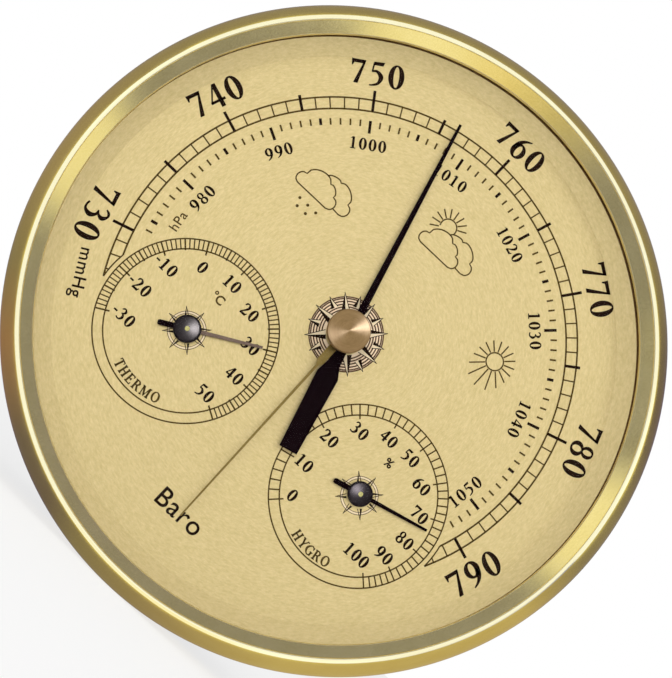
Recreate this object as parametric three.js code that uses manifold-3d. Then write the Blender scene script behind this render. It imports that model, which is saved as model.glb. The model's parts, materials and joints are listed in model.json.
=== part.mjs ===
// Round wall weather station: an aneroid barometer with a thermometer and a hygrometer on one dial.
// Millimetres. X runs to the right of the dial, Z up, and the dial faces -Y.
// The origin is the centre of the flat back. A "depth" is a distance from the wall along -Y,
// and an angle on the dial is in degrees, clockwise from the top.
import * as THREE from "three";
import { mergeVertices } from "three/addons/utils/BufferGeometryUtils.js";
import Module from "manifold-3d";

const wasm = await Module();
wasm.setup();

// Sides of round pieces, and the distance at which corners are welded
const wideSides = 56;
const middleSides = 20;
const smallSides = 12;
const spiralSides = 16;
const weldDistance = 1e-4;

// Clearances
const seatGap = 0.1;
const boreGap = 0.2;
const passGap = 0.6;

// Bezel: a spun brass ring
const bezelRadius = 66.5;
const crestInset = 3.6;
const bandWidth = 2.5;
const bezelSheet = 0.8;
const crestRise = 8;
const lipRise = 5.6;
const lipFlat = 0.7;
const rimDrop = 3.6;
const skirtDrop = 7;
const bezelScrewRadius = 1.1;
const bezelScrewReach = 3.2;
const bezelScrewAngles = [60, 180, 300];

// Dial, lens and the rings between them
const dialDepth = 37;
const dialThickness = 0.8;
const lensThickness = 1.6;
const gasketThickness = 0.5;
const gasketInset = 0.1;
const spacerWidth = 4.2;
const stackClearance = 0.5;

// Rear case: a moulded drum with a flange
const drumInset = 7;
const drumTaper = 2;
const drumCorner = 5;
const caseWall = 2.2;
const caseFloor = 2.6;
const flangeClearance = 0.3;
const flangeInset = 0.5;
const keyholeHeight = 44.8;
const keyholeRadius = 4.2;
const keyholeSlotWidth = 4.4;
const keyholeSlotTravel = 5.2;
const ventCount = 5;
const ventSpacing = 4;
const ventWidth = 1.8;
const ventLength = 15;
const ventSides = 8;
const bossRadius = 3;
const bossRoot = 0.6;

// Movement plate and its screws
const plateDepth = 6.1;
const plateThickness = 1.4;
const plateHalfWidth = 26;
const plateMargin = 4;
const plateScrewRadius = 1;
const screwHeadRadius = 2.2;
const screwHeadHeight = 1.3;
const plateScrewInset = 4.5;
const plateScrewReach = 3;

// Gear train: a toothed sector drives the pointer's pinion
const gearModule = 0.4;
const pinionTeeth = 10;
const pinionPhase = 0.5;
const gearRatio = 10;
const toothShare = 0.4;
const addendum = 0.3;
const dedendum = 0.5;
const pinionHeight = 1.8;
const sectorThickness = 1;
const sectorTeethLeft = 5;
const sectorTeethRight = 4;
const sectorHubRadius = 3;
const sectorLift = 0.4;
const sectorTail = 7;
const forkSlot = 1.9;
const forkTine = 1.2;
const forkEnd = 2.5;

// Bridges and pillars that carry the train
const bridgeClearance = 1.25;
const bridgeThickness = 1;
const bridgeSpace = 5.6;
const bridgeHalfWidth = 5.5;
const pillarRadius = 2.2;
const pillarTenon = 1.2;
const pillarBelow = 9;

// Arbors
const arborRadius = 0.8;
const pivotRadius = 0.5;
const pivotLength = 1.1;
const colletRadius = 1.3;

// Aneroid capsule, its stem and the adjusting screw behind it
const capsuleRadius = 15;
const capsuleRear = 8.9;
const capsuleHeight = 7.3;
const capsuleRim = 0.8;
const capsuleBossRadius = 2.6;
const capsuleBossHeight = 1.1;
const capsuleRipples = 3;
const rippleHeight = 0.45;
const stemRadius = 1.2;
const stemTipRadius = 0.4;
const stemTipLength = 1;
const stemLength = 2.1;
const liftGap = 0.3;
const adjusterRadius = 1.5;
const adjusterHeadRadius = 2.8;
const adjusterHeadDepth = 0.9;
const adjusterHeadHeight = 2;
const adjusterSlotWidth = 0.8;
const adjusterSlotDepth = 0.9;

// Rocker between the capsule and the sector
const rockerRadius = 0.9;
const rockerFinger = 3.2;
const rockerHubRadius = 1.9;
const fingerThickness = 1.1;
const fingerWidth = 3;
const driveArmSide = 1.2;
const cockThickness = 1.4;
const cockHalfWidth = 4;
const cockFoot = 7;
const cockGap = 1.5;
const cockRise = 2;

// Hairspring on the pointer's arbor
const hairspringTurns = 4;
const hairspringInner = 1.6;
const hairspringOuter = 4.5;
const hairspringStrip = 0.25;
const hairspringHeight = 0.7;
const hairspringLift = 0.6;
const studRadius = 0.6;
const studLength = 1.6;
const studSides = 8;

// Thermometer and hygrometer behind the small dials
const thermoX = -23.2;
const hygroX = 24.1;
const smallDialZ = -21.2;
const strapDepth = 24;
const strapThickness = 1.2;
const strapHalfWidth = 3.5;
const strapPost = 11.5;
const strapPostRadius = 1.6;
const coilInner = 1.75;
const coilStrip = 0.5;
const coilHeight = 4;
const coilLift = 3;
const coilTurns = 4;

// Hands
const smallHandRise = 0.6;
const handThickness = 0.3;
const smallHubHeight = 0.6;
const thermoHubRadius = 2.8;
const hygroHubRadius = 2.55;
const smallHandLength = 15.4;
const smallHandTail = 5.8;
const smallHandBase = 0.85;
const smallHandTip = 0.5;
const smallTailWidth = 1;
const smallPinRise = 1.35;
const pointerRise = 1.7;
const pointerLength = 49.9;
const pointerBase = 1.75;
const pointerTip = 0.6;
const pointerTail = 25.4;
const pointerTailEnd = 3.9;
const pointerShoulder = 9.2;
const pointerShoulderWidth = 5.1;
const pointerNeck = 2.65;
const pointerHubRadius = 3;
const pointerPinLift = 0.05;
const setHandRise = 2.4;
const setHandLength = 48.2;
const setHandBase = 0.8;
const setRootWidth = 1.6;
const setRootLength = 7.6;
const setShoulder = 1;
const setHandTip = 0.35;
const setHubRadius = 2.2;
const setHandThickness = 0.25;
const washerRadius = 2.6;

// Setting knob in front of the lens
const setShaftRadius = 1.2;
const knobRadius = 4.35;
const knobSide = 1.55;
const knobChamfer = 0.3;
const knobCone = 0.4;
const knobCrown = 0.6;

// Readings at rest, as angles on the dials
const pointerAngle = -14.4;
const setHandAngle = 178.8;
const thermoAngle = 60;
const hygroAngle = 75.2;

// Worked out from the values above
const crestRadius = bezelRadius - crestInset;
const lipRadius = crestRadius - bandWidth;
const crestDepth = dialDepth + crestRise;
const lipDepth = dialDepth + lipRise;
const rimDepth = crestDepth - rimDrop;
const skirtDepth = dialDepth - skirtDrop;
const stackRadius = bezelRadius - bezelSheet - stackClearance;
const lensFront = lipDepth - bezelSheet - seatGap;
const lensRear = lensFront - lensThickness;
const gasketFront = lensRear - seatGap;
const gasketRear = gasketFront - gasketThickness;
const dialRear = dialDepth - dialThickness;
const flangeFront = dialRear - seatGap;
const flangeRear = skirtDepth + flangeInset;
const flangeRadius = bezelRadius - bezelSheet - flangeClearance;
const drumRadius = bezelRadius - drumInset;
const bezelScrewDepth = (flangeFront + flangeRear) / 2;
const plateFront = plateDepth + plateThickness;
const pinionRadius = (gearModule * pinionTeeth) / 2;
const sectorRadius = pinionRadius * gearRatio;
const sectorZ = pinionRadius + sectorRadius;
const toothPitch = 360 / (pinionTeeth * gearRatio);
const capsuleZ = sectorZ - rockerFinger;
const capsuleFront = capsuleRear + capsuleHeight;
const stemRear = capsuleFront + seatGap;
const stemFront = stemRear + stemLength;
const fingerRear = stemFront + liftGap;
const rockerDepth = fingerRear + fingerThickness / 2;
const lowerBridgeDepth = rockerDepth + rockerHubRadius + bridgeClearance;
const pillarUpperZ = capsuleZ + capsuleRadius + pillarRadius + cockGap;
const pillarLowerZ = -pillarBelow;
const lowerBridgeFront = lowerBridgeDepth + bridgeThickness;
const upperBridgeDepth = lowerBridgeFront + bridgeSpace;
const upperBridgeFront = upperBridgeDepth + bridgeThickness;
const sectorDepth = lowerBridgeFront + (bridgeSpace - sectorThickness) / 2 + sectorLift;
const pinionDepth = sectorDepth - (pinionHeight - sectorThickness) / 2;
const cockX = capsuleRadius + cockGap;
const plateTop = pillarUpperZ + plateMargin;
const plateBottom = pillarLowerZ - plateMargin;
const hairspringDepth = lowerBridgeFront + hairspringLift;
const coilOuter = strapPost - strapPostRadius - boreGap - coilStrip;
const coilDepth = strapDepth + strapThickness + coilLift;

// Materials by finish
const finishes = {
  brass: { color: 0xb8924a, roughness: 0.3, metalness: 1 },
  dial: { color: 0xdecb90, roughness: 0.45, metalness: 0.8 },
  steel: { color: 0xb5b5b2, roughness: 0.35, metalness: 1 },
  black: { color: 0x17131a, roughness: 0.35, metalness: 0.1 },
  plastic: { color: 0x1c1c1d, roughness: 0.6, metalness: 0 },
  rubber: { color: 0x222222, roughness: 0.85, metalness: 0 },
  glass: { color: 0xf4f8f8, roughness: 0.03, metalness: 0, transparent: true, opacity: 0.2 },
  nickel: { color: 0xcfc8b4, roughness: 0.3, metalness: 1 },
  nylon: { color: 0xe6e2d6, roughness: 0.6, metalness: 0 },
};

const station = new THREE.Group();

// Adds one named piece in one finish.
function addPiece(name, geometry, finish, x = 0, z = 0, angle = 0) {
  const mesh = new THREE.Mesh(geometry, new THREE.MeshStandardMaterial(finishes[finish]));
  mesh.name = name;
  mesh.position.set(x, 0, z);
  mesh.rotation.y = THREE.MathUtils.degToRad(angle);
  station.add(mesh);
}

// A solid for joining and cutting.
function solidOf(geometry) {
  const loose = geometry.index ? geometry.toNonIndexed() : geometry;
  const bare = new THREE.BufferGeometry().setAttribute("position", loose.getAttribute("position"));
  const joined = mergeVertices(bare, weldDistance);
  const vertProperties = joined.attributes.position.array;
  const triVerts = new Uint32Array(joined.index.array);
  return new wasm.Manifold(new wasm.Mesh({ numProp: 3, vertProperties, triVerts }));
}

function geometryOf(solid) {
  const mesh = solid.getMesh();
  const geometry = new THREE.BufferGeometry();
  geometry.setAttribute("position", new THREE.BufferAttribute(mesh.vertProperties, 3));
  geometry.setIndex(new THREE.BufferAttribute(mesh.triVerts, 1));
  geometry.computeVertexNormals();
  return geometry;
}

function joinPieces(first, ...others) {
  return geometryOf(others.reduce((whole, piece) => whole.add(solidOf(piece)), solidOf(first)));
}

function cutPieces(body, cutters) {
  return geometryOf(cutters.reduce((whole, cutter) => whole.subtract(solidOf(cutter)), solidOf(body)));
}

// Turns a profile of [radius, depth] pairs about the Y axis. A ring's profile closes on itself.
function turned(profile, sides) {
  const points = profile.map(([radius, depth]) => new THREE.Vector2(radius, -depth));
  const onAxis = points[0].x === 0 && points[points.length - 1].x === 0;
  if (!onAxis) points.push(points[0].clone());
  if (THREE.ShapeUtils.area(points) < 0) points.reverse();
  return new THREE.LatheGeometry(points, sides);
}

// A straight round bar or tube along Y between two depths.
function bar(radius, rear, front, sides = smallSides) {
  return turned([[0, rear], [radius, rear], [radius, front], [0, front]], sides);
}

function tube(inner, outer, rear, front, sides) {
  return turned([[inner, rear], [outer, rear], [outer, front], [inner, front]], sides);
}

// A bar that steps through [radius, depth] pairs, with a flat face at each end.
function steppedBar(steps, sides = smallSides) {
  const first = [0, steps[0][1]];
  const last = [0, steps[steps.length - 1][1]];
  return turned([first, ...steps, last], sides);
}

// A flat plate parallel to the dial, from its rear depth towards the viewer.
function plate(shape, rear, thickness) {
  const options = { depth: thickness, bevelEnabled: false };
  const geometry = new THREE.ExtrudeGeometry(shape, options);
  geometry.rotateX(Math.PI / 2);
  geometry.translate(0, -rear, 0);
  return geometry;
}

// A plate square to X, drawn with its height along Z and its depth towards the viewer.
function sidePlate(shape, x, thickness) {
  const options = { depth: thickness, bevelEnabled: false };
  const geometry = new THREE.ExtrudeGeometry(shape, options);
  const up = new THREE.Vector3(0, 0, 1);
  const toViewer = new THREE.Vector3(0, -1, 0);
  const right = new THREE.Vector3(1, 0, 0);
  geometry.applyMatrix4(new THREE.Matrix4().makeBasis(up, toViewer, right));
  geometry.translate(x, 0, 0);
  return geometry;
}

function polygon(points) {
  return new THREE.Shape(points.map(([x, y]) => new THREE.Vector2(x, y)));
}

// Points of an arc about (x, y), both ends included.
function arcPoints(x, y, radius, from, to, steps) {
  const points = [];
  for (let step = 0; step <= steps; step += 1) {
    const turn = THREE.MathUtils.degToRad(from + ((to - from) * step) / steps);
    points.push([x + radius * Math.cos(turn), y + radius * Math.sin(turn)]);
  }
  return points;
}

function circle(x, y, radius, sides = smallSides) {
  return polygon(arcPoints(x, y, radius, 0, 360 - 360 / sides, sides - 1));
}

// A slot with round ends, upright between two heights.
function uprightSlot(x, bottom, top, width, sides = smallSides) {
  const upper = arcPoints(x, top, width / 2, 0, 180, sides / 2);
  const lower = arcPoints(x, bottom, width / 2, 180, 360, sides / 2);
  return polygon([...upper, ...lower]);
}

function rectangle(left, bottom, right, top) {
  return polygon([[left, bottom], [right, bottom], [right, top], [left, top]]);
}

// A flat spiral strip between two radii.
function spiral(inner, outer, turns, strip) {
  const steps = turns * spiralSides;
  const outside = [];
  const inside = [];
  for (let step = 0; step <= steps; step += 1) {
    const turn = (step / steps) * turns * Math.PI * 2;
    const radius = inner + ((outer - inner) * step) / steps;
    outside.push([(radius + strip) * Math.cos(turn), (radius + strip) * Math.sin(turn)]);
    inside.push([radius * Math.cos(turn), radius * Math.sin(turn)]);
  }
  return polygon([...outside, ...inside.reverse()]);
}

// A quarter of an ellipse in the bezel's section, from its front to its side.
function rimArc(across, along, steps) {
  const points = [];
  for (let step = 0; step <= steps; step += 1) {
    const turn = ((step / steps) * Math.PI) / 2;
    points.push([crestRadius + across * Math.sin(turn), rimDepth + along * Math.cos(turn)]);
  }
  return points;
}

// A round hole or screw that points at the dial's axis.
function radialBar(radius, from, to, depth, angle) {
  const geometry = new THREE.CylinderGeometry(radius, radius, to - from, smallSides);
  geometry.rotateX(Math.PI / 2);
  geometry.translate(0, -depth, (from + to) / 2);
  geometry.rotateY(THREE.MathUtils.degToRad(angle));
  return geometry;
}

// Bezel, with clearance holes for its screws
function addBezel() {
  const rimSteps = 4;
  const outside = rimArc(crestInset, rimDrop, rimSteps);
  const inside = rimArc(crestInset - bezelSheet, rimDrop - bezelSheet, rimSteps).reverse();
  const ring = turned(
    [
      [lipRadius, lipDepth - bezelSheet],
      [lipRadius, lipDepth],
      ...outside,
      [bezelRadius, skirtDepth],
      [bezelRadius - bezelSheet, skirtDepth],
      ...inside,
      [lipRadius + lipFlat, lipDepth - bezelSheet],
    ],
    wideSides,
  );
  const holeRadius = bezelScrewRadius + boreGap;
  const holes = bezelScrewAngles.map((angle) =>
    radialBar(holeRadius, flangeRadius - bezelScrewReach, bezelRadius + bezelSheet, bezelScrewDepth, angle),
  );
  addPiece("bezel", cutPieces(ring, holes), "brass");
  const screwEnd = bezelRadius - bezelSheet / 2;
  bezelScrewAngles.forEach((angle, index) => {
    const screw = radialBar(
      bezelScrewRadius,
      flangeRadius - bezelScrewReach + boreGap,
      screwEnd,
      bezelScrewDepth,
      angle,
    );
    addPiece(`bezel_screw_${index + 1}`, screw, "brass");
  });
}

// Lens, gasket, spacer ring and dial, in a stack under the bezel's lip
function addFront() {
  const gasketInner = lipRadius + gasketInset;
  const spacerInner = stackRadius - spacerWidth;
  const lensHole = setShaftRadius + boreGap;
  addPiece("lens", tube(lensHole, stackRadius, lensRear, lensFront, wideSides), "glass");
  addPiece("lens_gasket", tube(gasketInner, stackRadius, gasketRear, gasketFront, wideSides), "rubber");
  const spacer = tube(spacerInner, stackRadius, dialDepth + seatGap, gasketRear - seatGap, wideSides);
  addPiece("spacer_ring", spacer, "dial");
  const face = circle(0, 0, stackRadius, wideSides);
  const arborHole = arborRadius + passGap;
  face.holes.push(circle(0, 0, arborHole));
  face.holes.push(circle(thermoX, smallDialZ, arborHole));
  face.holes.push(circle(hygroX, smallDialZ, arborHole));
  addPiece("dial_plate", plate(face, dialRear, dialThickness), "dial");
}

// Places of the four screws that hold the movement plate to the case
function plateScrewPlaces() {
  const x = plateHalfWidth - plateScrewInset;
  const low = plateBottom + plateScrewInset;
  const high = plateTop - plateScrewInset;
  return [[-x, low], [x, low], [x, high], [-x, high]];
}

// Rear case with its bosses, hanging keyhole, vents and adjuster hole
function addRearCase() {
  const rearRadius = drumRadius - drumTaper;
  const corner = [];
  const cornerSteps = 3;
  for (let step = 0; step <= cornerSteps; step += 1) {
    const turn = ((step / cornerSteps) * Math.PI) / 2;
    const across = rearRadius - drumCorner + drumCorner * Math.sin(turn);
    corner.push([across, drumCorner - drumCorner * Math.cos(turn)]);
  }
  const drum = turned(
    [
      [0, 0],
      ...corner,
      [drumRadius, flangeRear],
      [flangeRadius, flangeRear],
      [flangeRadius, flangeFront],
      [drumRadius - caseWall, flangeFront],
      [rearRadius - caseWall, drumCorner],
      [rearRadius - drumCorner, caseFloor],
      [0, caseFloor],
    ],
    wideSides,
  );
  const bosses = plateScrewPlaces().map(([x, z]) =>
    bar(bossRadius, caseFloor - bossRoot, plateDepth - seatGap).translate(x, 0, z),
  );
  const pilots = plateScrewPlaces().map(([x, z]) =>
    bar(plateScrewRadius + boreGap, plateScrewReach - boreGap, plateDepth + seatGap).translate(x, 0, z),
  );
  const through = caseFloor + 2 * seatGap;
  const headHole = bar(keyholeRadius, -seatGap, through - seatGap, middleSides);
  headHole.translate(0, 0, keyholeHeight);
  const slotShape = uprightSlot(0, keyholeHeight, keyholeHeight + keyholeSlotTravel, keyholeSlotWidth);
  const slot = plate(slotShape, -seatGap, through);
  const adjusterHole = bar(adjusterHeadRadius + boreGap, -seatGap, through - seatGap);
  adjusterHole.translate(0, 0, capsuleZ);
  const vents = [];
  for (const x of [thermoX, hygroX]) {
    for (let index = 0; index < ventCount; index += 1) {
      const ventX = x + (index - (ventCount - 1) / 2) * ventSpacing;
      const half = (ventLength - ventWidth) / 2;
      const shape = uprightSlot(ventX, smallDialZ - half, smallDialZ + half, ventWidth, ventSides);
      vents.push(plate(shape, -seatGap, through));
    }
  }
  const screwHoles = bezelScrewAngles.map((angle) =>
    radialBar(
      bezelScrewRadius + boreGap,
      flangeRadius - bezelScrewReach,
      bezelRadius,
      bezelScrewDepth,
      angle,
    ),
  );
  const withBosses = joinPieces(drum, ...bosses);
  const cutters = [...pilots, headHole, slot, adjusterHole, ...vents, ...screwHoles];
  addPiece("rear_case", cutPieces(withBosses, cutters), "plastic");
}

// Movement plate, its four screws and the two rocker cocks
function addMovementPlate() {
  const shape = rectangle(-plateHalfWidth, plateBottom, plateHalfWidth, plateTop);
  for (const [x, z] of plateScrewPlaces()) {
    shape.holes.push(circle(x, z, plateScrewRadius + boreGap));
  }
  shape.holes.push(circle(0, capsuleZ, adjusterRadius + boreGap));
  for (const z of [pillarLowerZ, pillarUpperZ]) {
    shape.holes.push(circle(0, z, pillarTenon + boreGap));
  }
  const footX = cockX + cockThickness + cockFoot / 2;
  for (const side of [-1, 1]) {
    shape.holes.push(circle(side * footX, sectorZ, plateScrewRadius + boreGap));
  }
  addPiece("movement_plate", plate(shape, plateDepth, plateThickness), "brass");
  const headRear = plateFront + seatGap;
  const screw = steppedBar([
    [plateScrewRadius, plateScrewReach],
    [plateScrewRadius, headRear],
    [screwHeadRadius, headRear],
    [screwHeadRadius, headRear + screwHeadHeight],
  ]);
  plateScrewPlaces().forEach(([x, z], index) => {
    addPiece(`movement_screw_${index + 1}`, screw.clone(), "steel", x, z);
  });
  addCocks(footX);
}

// A cock is an upright ear with a foot that turns away from the capsule
function addCocks(footX) {
  const footRear = plateFront + seatGap;
  const footFront = footRear + cockThickness;
  const low = sectorZ - cockHalfWidth;
  const high = sectorZ + cockHalfWidth;
  const earTop = rockerDepth + rockerRadius + cockRise;
  const ear = rectangle(low, footRear, high, earTop);
  ear.holes.push(circle(sectorZ, rockerDepth, rockerRadius + boreGap));
  for (const [name, side] of [["left", -1], ["right", 1]]) {
    const earX = side > 0 ? cockX : -cockX - cockThickness;
    const footLeft = side > 0 ? cockX : -cockX - cockThickness - cockFoot;
    const foot = rectangle(footLeft, low, footLeft + cockThickness + cockFoot, high);
    foot.holes.push(circle(side * footX, sectorZ, plateScrewRadius + boreGap));
    const upright = sidePlate(ear, earX, cockThickness);
    const cock = joinPieces(plate(foot, footRear, cockThickness), upright);
    addPiece(`rocker_cock_${name}`, cock, "brass");
    const headRear = footFront + seatGap;
    const screw = steppedBar([
      [plateScrewRadius, plateDepth],
      [plateScrewRadius, headRear],
      [screwHeadRadius, headRear],
      [screwHeadRadius, headRear + screwHeadHeight],
    ]);
    addPiece(`cock_screw_${name}`, screw, "steel", side * footX, sectorZ);
  }
}

// Two bridges on stepped pillars carry the arbors
function addBridges() {
  const pillarPlaces = [pillarLowerZ, pillarUpperZ];
  const bridge = uprightSlot(0, pillarLowerZ, pillarUpperZ, bridgeHalfWidth * 2);
  const pivotHole = pivotRadius + boreGap;
  for (const z of pillarPlaces) bridge.holes.push(circle(0, z, pillarTenon + boreGap));
  bridge.holes.push(circle(0, sectorZ, pivotHole));
  const upper = bridge.clone();
  bridge.holes.push(circle(0, 0, pivotHole));
  upper.holes.push(circle(0, 0, arborRadius + boreGap));
  addPiece("lower_bridge", plate(bridge, lowerBridgeDepth, bridgeThickness), "brass");
  addPiece("upper_bridge", plate(upper, upperBridgeDepth, bridgeThickness), "brass");
  const lowerPillar = steppedBar([
    [pillarTenon, plateDepth],
    [pillarTenon, plateFront + seatGap],
    [pillarRadius, plateFront + seatGap],
    [pillarRadius, lowerBridgeDepth - seatGap],
  ]);
  const upperPillar = steppedBar([
    [pillarTenon, lowerBridgeDepth],
    [pillarTenon, lowerBridgeFront + seatGap],
    [pillarRadius, lowerBridgeFront + seatGap],
    [pillarRadius, upperBridgeDepth - seatGap],
  ]);
  const headRear = upperBridgeFront + seatGap;
  const screw = steppedBar([
    [pillarTenon, upperBridgeDepth],
    [pillarTenon, headRear],
    [screwHeadRadius, headRear],
    [screwHeadRadius, headRear + screwHeadHeight],
  ]);
  pillarPlaces.forEach((z, index) => {
    addPiece(`lower_pillar_${index + 1}`, lowerPillar.clone(), "brass", 0, z);
    addPiece(`upper_pillar_${index + 1}`, upperPillar.clone(), "brass", 0, z);
    addPiece(`bridge_screw_${index + 1}`, screw.clone(), "steel", 0, z);
  });
}

// Corrugated capsule, the stem on its front and the adjusting screw at its back
function addCapsule() {
  const middle = capsuleRear + capsuleHeight / 2;
  const faceRise = capsuleHeight / 2 - capsuleBossHeight;
  const steps = capsuleRipples * 2;
  const face = [];
  for (let step = 0; step <= steps; step += 1) {
    const radius = capsuleBossRadius + ((capsuleRadius - capsuleBossRadius) * step) / (steps + 1);
    const fall = ((faceRise - capsuleRim) * step) / (steps + 1);
    const ripple = step % 2 ? rippleHeight : 0;
    face.push([radius, faceRise - fall - ripple]);
  }
  const front = face.map(([radius, rise]) => [radius, middle + rise]);
  const rear = face.map(([radius, rise]) => [radius, middle - rise]).reverse();
  const capsule = turned(
    [
      [0, capsuleFront],
      [capsuleBossRadius, capsuleFront],
      ...front,
      [capsuleRadius, middle + capsuleRim / 2],
      [capsuleRadius, middle - capsuleRim / 2],
      ...rear,
      [capsuleBossRadius, capsuleRear],
      [0, capsuleRear],
    ],
    middleSides,
  );
  addPiece("aneroid_capsule", capsule, "nickel", 0, capsuleZ);
  const stem = steppedBar([
    [stemRadius, stemRear],
    [stemRadius, stemFront - stemTipLength],
    [stemTipRadius, stemFront - stemTipLength],
    [stemTipRadius, stemFront],
  ]);
  addPiece("capsule_stem", stem, "steel", 0, capsuleZ);
  const headFront = adjusterHeadDepth + adjusterHeadHeight;
  const screw = steppedBar([
    [adjusterHeadRadius, adjusterHeadDepth],
    [adjusterHeadRadius, headFront],
    [adjusterRadius, headFront],
    [adjusterRadius, capsuleRear - seatGap],
  ], middleSides);
  const slotEnd = adjusterHeadRadius + boreGap;
  const slotShape = rectangle(-slotEnd, -adjusterSlotWidth / 2, slotEnd, adjusterSlotWidth / 2);
  const slotRear = adjusterHeadDepth - seatGap;
  const slot = plate(slotShape, slotRear, adjusterSlotDepth + seatGap);
  addPiece("adjuster_screw", cutPieces(screw, [slot]), "brass", 0, capsuleZ);
}

// Rocker shaft, the finger that the stem lifts, and the arm that moves the sector's fork
function addRocker() {
  const shaftEnd = cockX + cockThickness;
  const shaft = new THREE.CylinderGeometry(rockerRadius, rockerRadius, shaftEnd * 2, smallSides);
  shaft.rotateZ(Math.PI / 2);
  shaft.translate(0, -rockerDepth, sectorZ);
  addPiece("rocker_shaft", shaft, "steel");
  const hubBore = rockerRadius + boreGap;
  const hub = circle(0, 0, rockerHubRadius);
  hub.holes.push(circle(0, 0, hubBore));
  const half = fingerThickness / 2;
  const fingerShape = rectangle(-rockerFinger - stemRadius, -half, -hubBore, half);
  const fingerPlate = sidePlate(fingerShape, -fingerWidth / 2, fingerWidth);
  const finger = joinPieces(sidePlate(hub, -fingerWidth / 2, fingerWidth), fingerPlate);
  finger.translate(0, -rockerDepth, sectorZ);
  addPiece("lift_finger", finger, "brass");
  const armTop = sectorDepth + sectorThickness + boreGap - rockerDepth;
  const armShape = rectangle(-driveArmSide / 2, hubBore, driveArmSide / 2, armTop);
  const armX = -sectorTail - driveArmSide / 2;
  const arm = joinPieces(sidePlate(hub, armX, driveArmSide), sidePlate(armShape, armX, driveArmSide));
  arm.translate(0, -rockerDepth, sectorZ);
  addPiece("drive_arm", arm, "brass");
}

// Four corners of a gear tooth, as [radius, angle in degrees] pairs about its own centre line
function toothCorners(pitchRadius, centre) {
  const pitchWidth = Math.PI * gearModule * toothShare;
  const rootRadius = pitchRadius - dedendum;
  const tipRadius = pitchRadius + addendum;
  const rootHalf = THREE.MathUtils.radToDeg(pitchWidth / 2 / rootRadius);
  const tipHalf = THREE.MathUtils.radToDeg(pitchWidth / 4 / tipRadius);
  return [
    [rootRadius, centre - rootHalf],
    [tipRadius, centre - tipHalf],
    [tipRadius, centre + tipHalf],
    [rootRadius, centre + rootHalf],
  ];
}

// A corner of a gear, with its angle counted from straight down
function fromBelow([radius, angle]) {
  const turn = THREE.MathUtils.degToRad(angle);
  return [radius * Math.sin(turn), -radius * Math.cos(turn)];
}

// Sector gear with its forked tail, on its own arbor
function addSector() {
  const firstAngle = -(sectorTeethLeft + pinionPhase) * toothPitch;
  const lastAngle = (sectorTeethRight + pinionPhase) * toothPitch;
  const rootRadius = sectorRadius - dedendum;
  const rim = [fromBelow([rootRadius, firstAngle])];
  for (let tooth = -sectorTeethLeft; tooth <= sectorTeethRight; tooth += 1) {
    rim.push(...toothCorners(sectorRadius, tooth * toothPitch).map(fromBelow));
  }
  rim.push(fromBelow([rootRadius, lastAngle]));
  const fan = polygon([[-sectorHubRadius, 0], ...rim, [sectorHubRadius, 0]]);
  const hub = circle(0, 0, sectorHubRadius, middleSides);
  const tailHalf = forkSlot / 2 + forkTine;
  const tail = rectangle(-sectorTail - forkEnd, -tailHalf, 0, tailHalf);
  const slotEnd = -sectorTail + driveArmSide / 2 + passGap;
  const slot = rectangle(-sectorTail - 2 * forkEnd, -forkSlot / 2, slotEnd, forkSlot / 2);
  const whole = joinPieces(
    plate(hub, sectorDepth, sectorThickness),
    plate(fan, sectorDepth, sectorThickness),
    plate(tail, sectorDepth, sectorThickness),
  );
  const slotCutter = plate(slot, sectorDepth - seatGap, sectorThickness + 2 * seatGap);
  const boreCutter = bar(
    arborRadius + boreGap,
    sectorDepth - seatGap,
    sectorDepth + sectorThickness + seatGap,
  );
  addPiece("sector_gear", cutPieces(whole, [slotCutter, boreCutter]), "brass", 0, sectorZ);
  const arbor = steppedBar([
    [pivotRadius, lowerBridgeFront - pivotLength],
    [pivotRadius, lowerBridgeFront + seatGap],
    [arborRadius, lowerBridgeFront + seatGap],
    [arborRadius, upperBridgeDepth - seatGap],
    [pivotRadius, upperBridgeDepth - seatGap],
    [pivotRadius, upperBridgeDepth + pivotLength],
  ]);
  addPiece("sector_arbor", arbor, "steel", 0, sectorZ);
}

// Pointer arbor with its pinion and hairspring
function addPointerArbor() {
  const arbor = steppedBar([
    [pivotRadius, lowerBridgeFront - pivotLength],
    [pivotRadius, lowerBridgeFront + seatGap],
    [colletRadius, lowerBridgeFront + seatGap],
    [colletRadius, hairspringDepth + hairspringHeight],
    [arborRadius, hairspringDepth + hairspringHeight],
    [arborRadius, dialDepth + pointerRise + handThickness + pointerPinLift],
  ]);
  addPiece("pointer_arbor", arbor, "steel");
  const outline = [];
  const step = 360 / pinionTeeth;
  for (let tooth = 0; tooth < pinionTeeth; tooth += 1) {
    const centre = (tooth + pinionPhase) * step;
    outline.push(...toothCorners(pinionRadius, centre).map(fromBelow));
  }
  const pinionShape = polygon(outline);
  pinionShape.holes.push(circle(0, 0, arborRadius + boreGap));
  addPiece("pointer_pinion", plate(pinionShape, pinionDepth, pinionHeight), "brass");
  const springShape = spiral(hairspringInner, hairspringOuter, hairspringTurns, hairspringStrip);
  addPiece("hairspring", plate(springShape, hairspringDepth, hairspringHeight), "steel");
  const studX = hairspringOuter + hairspringStrip + boreGap + studRadius;
  const studRear = lowerBridgeFront + seatGap;
  addPiece("hairspring_stud", bar(studRadius, studRear, studRear + studLength, studSides), "brass", studX, 0);
}

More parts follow.
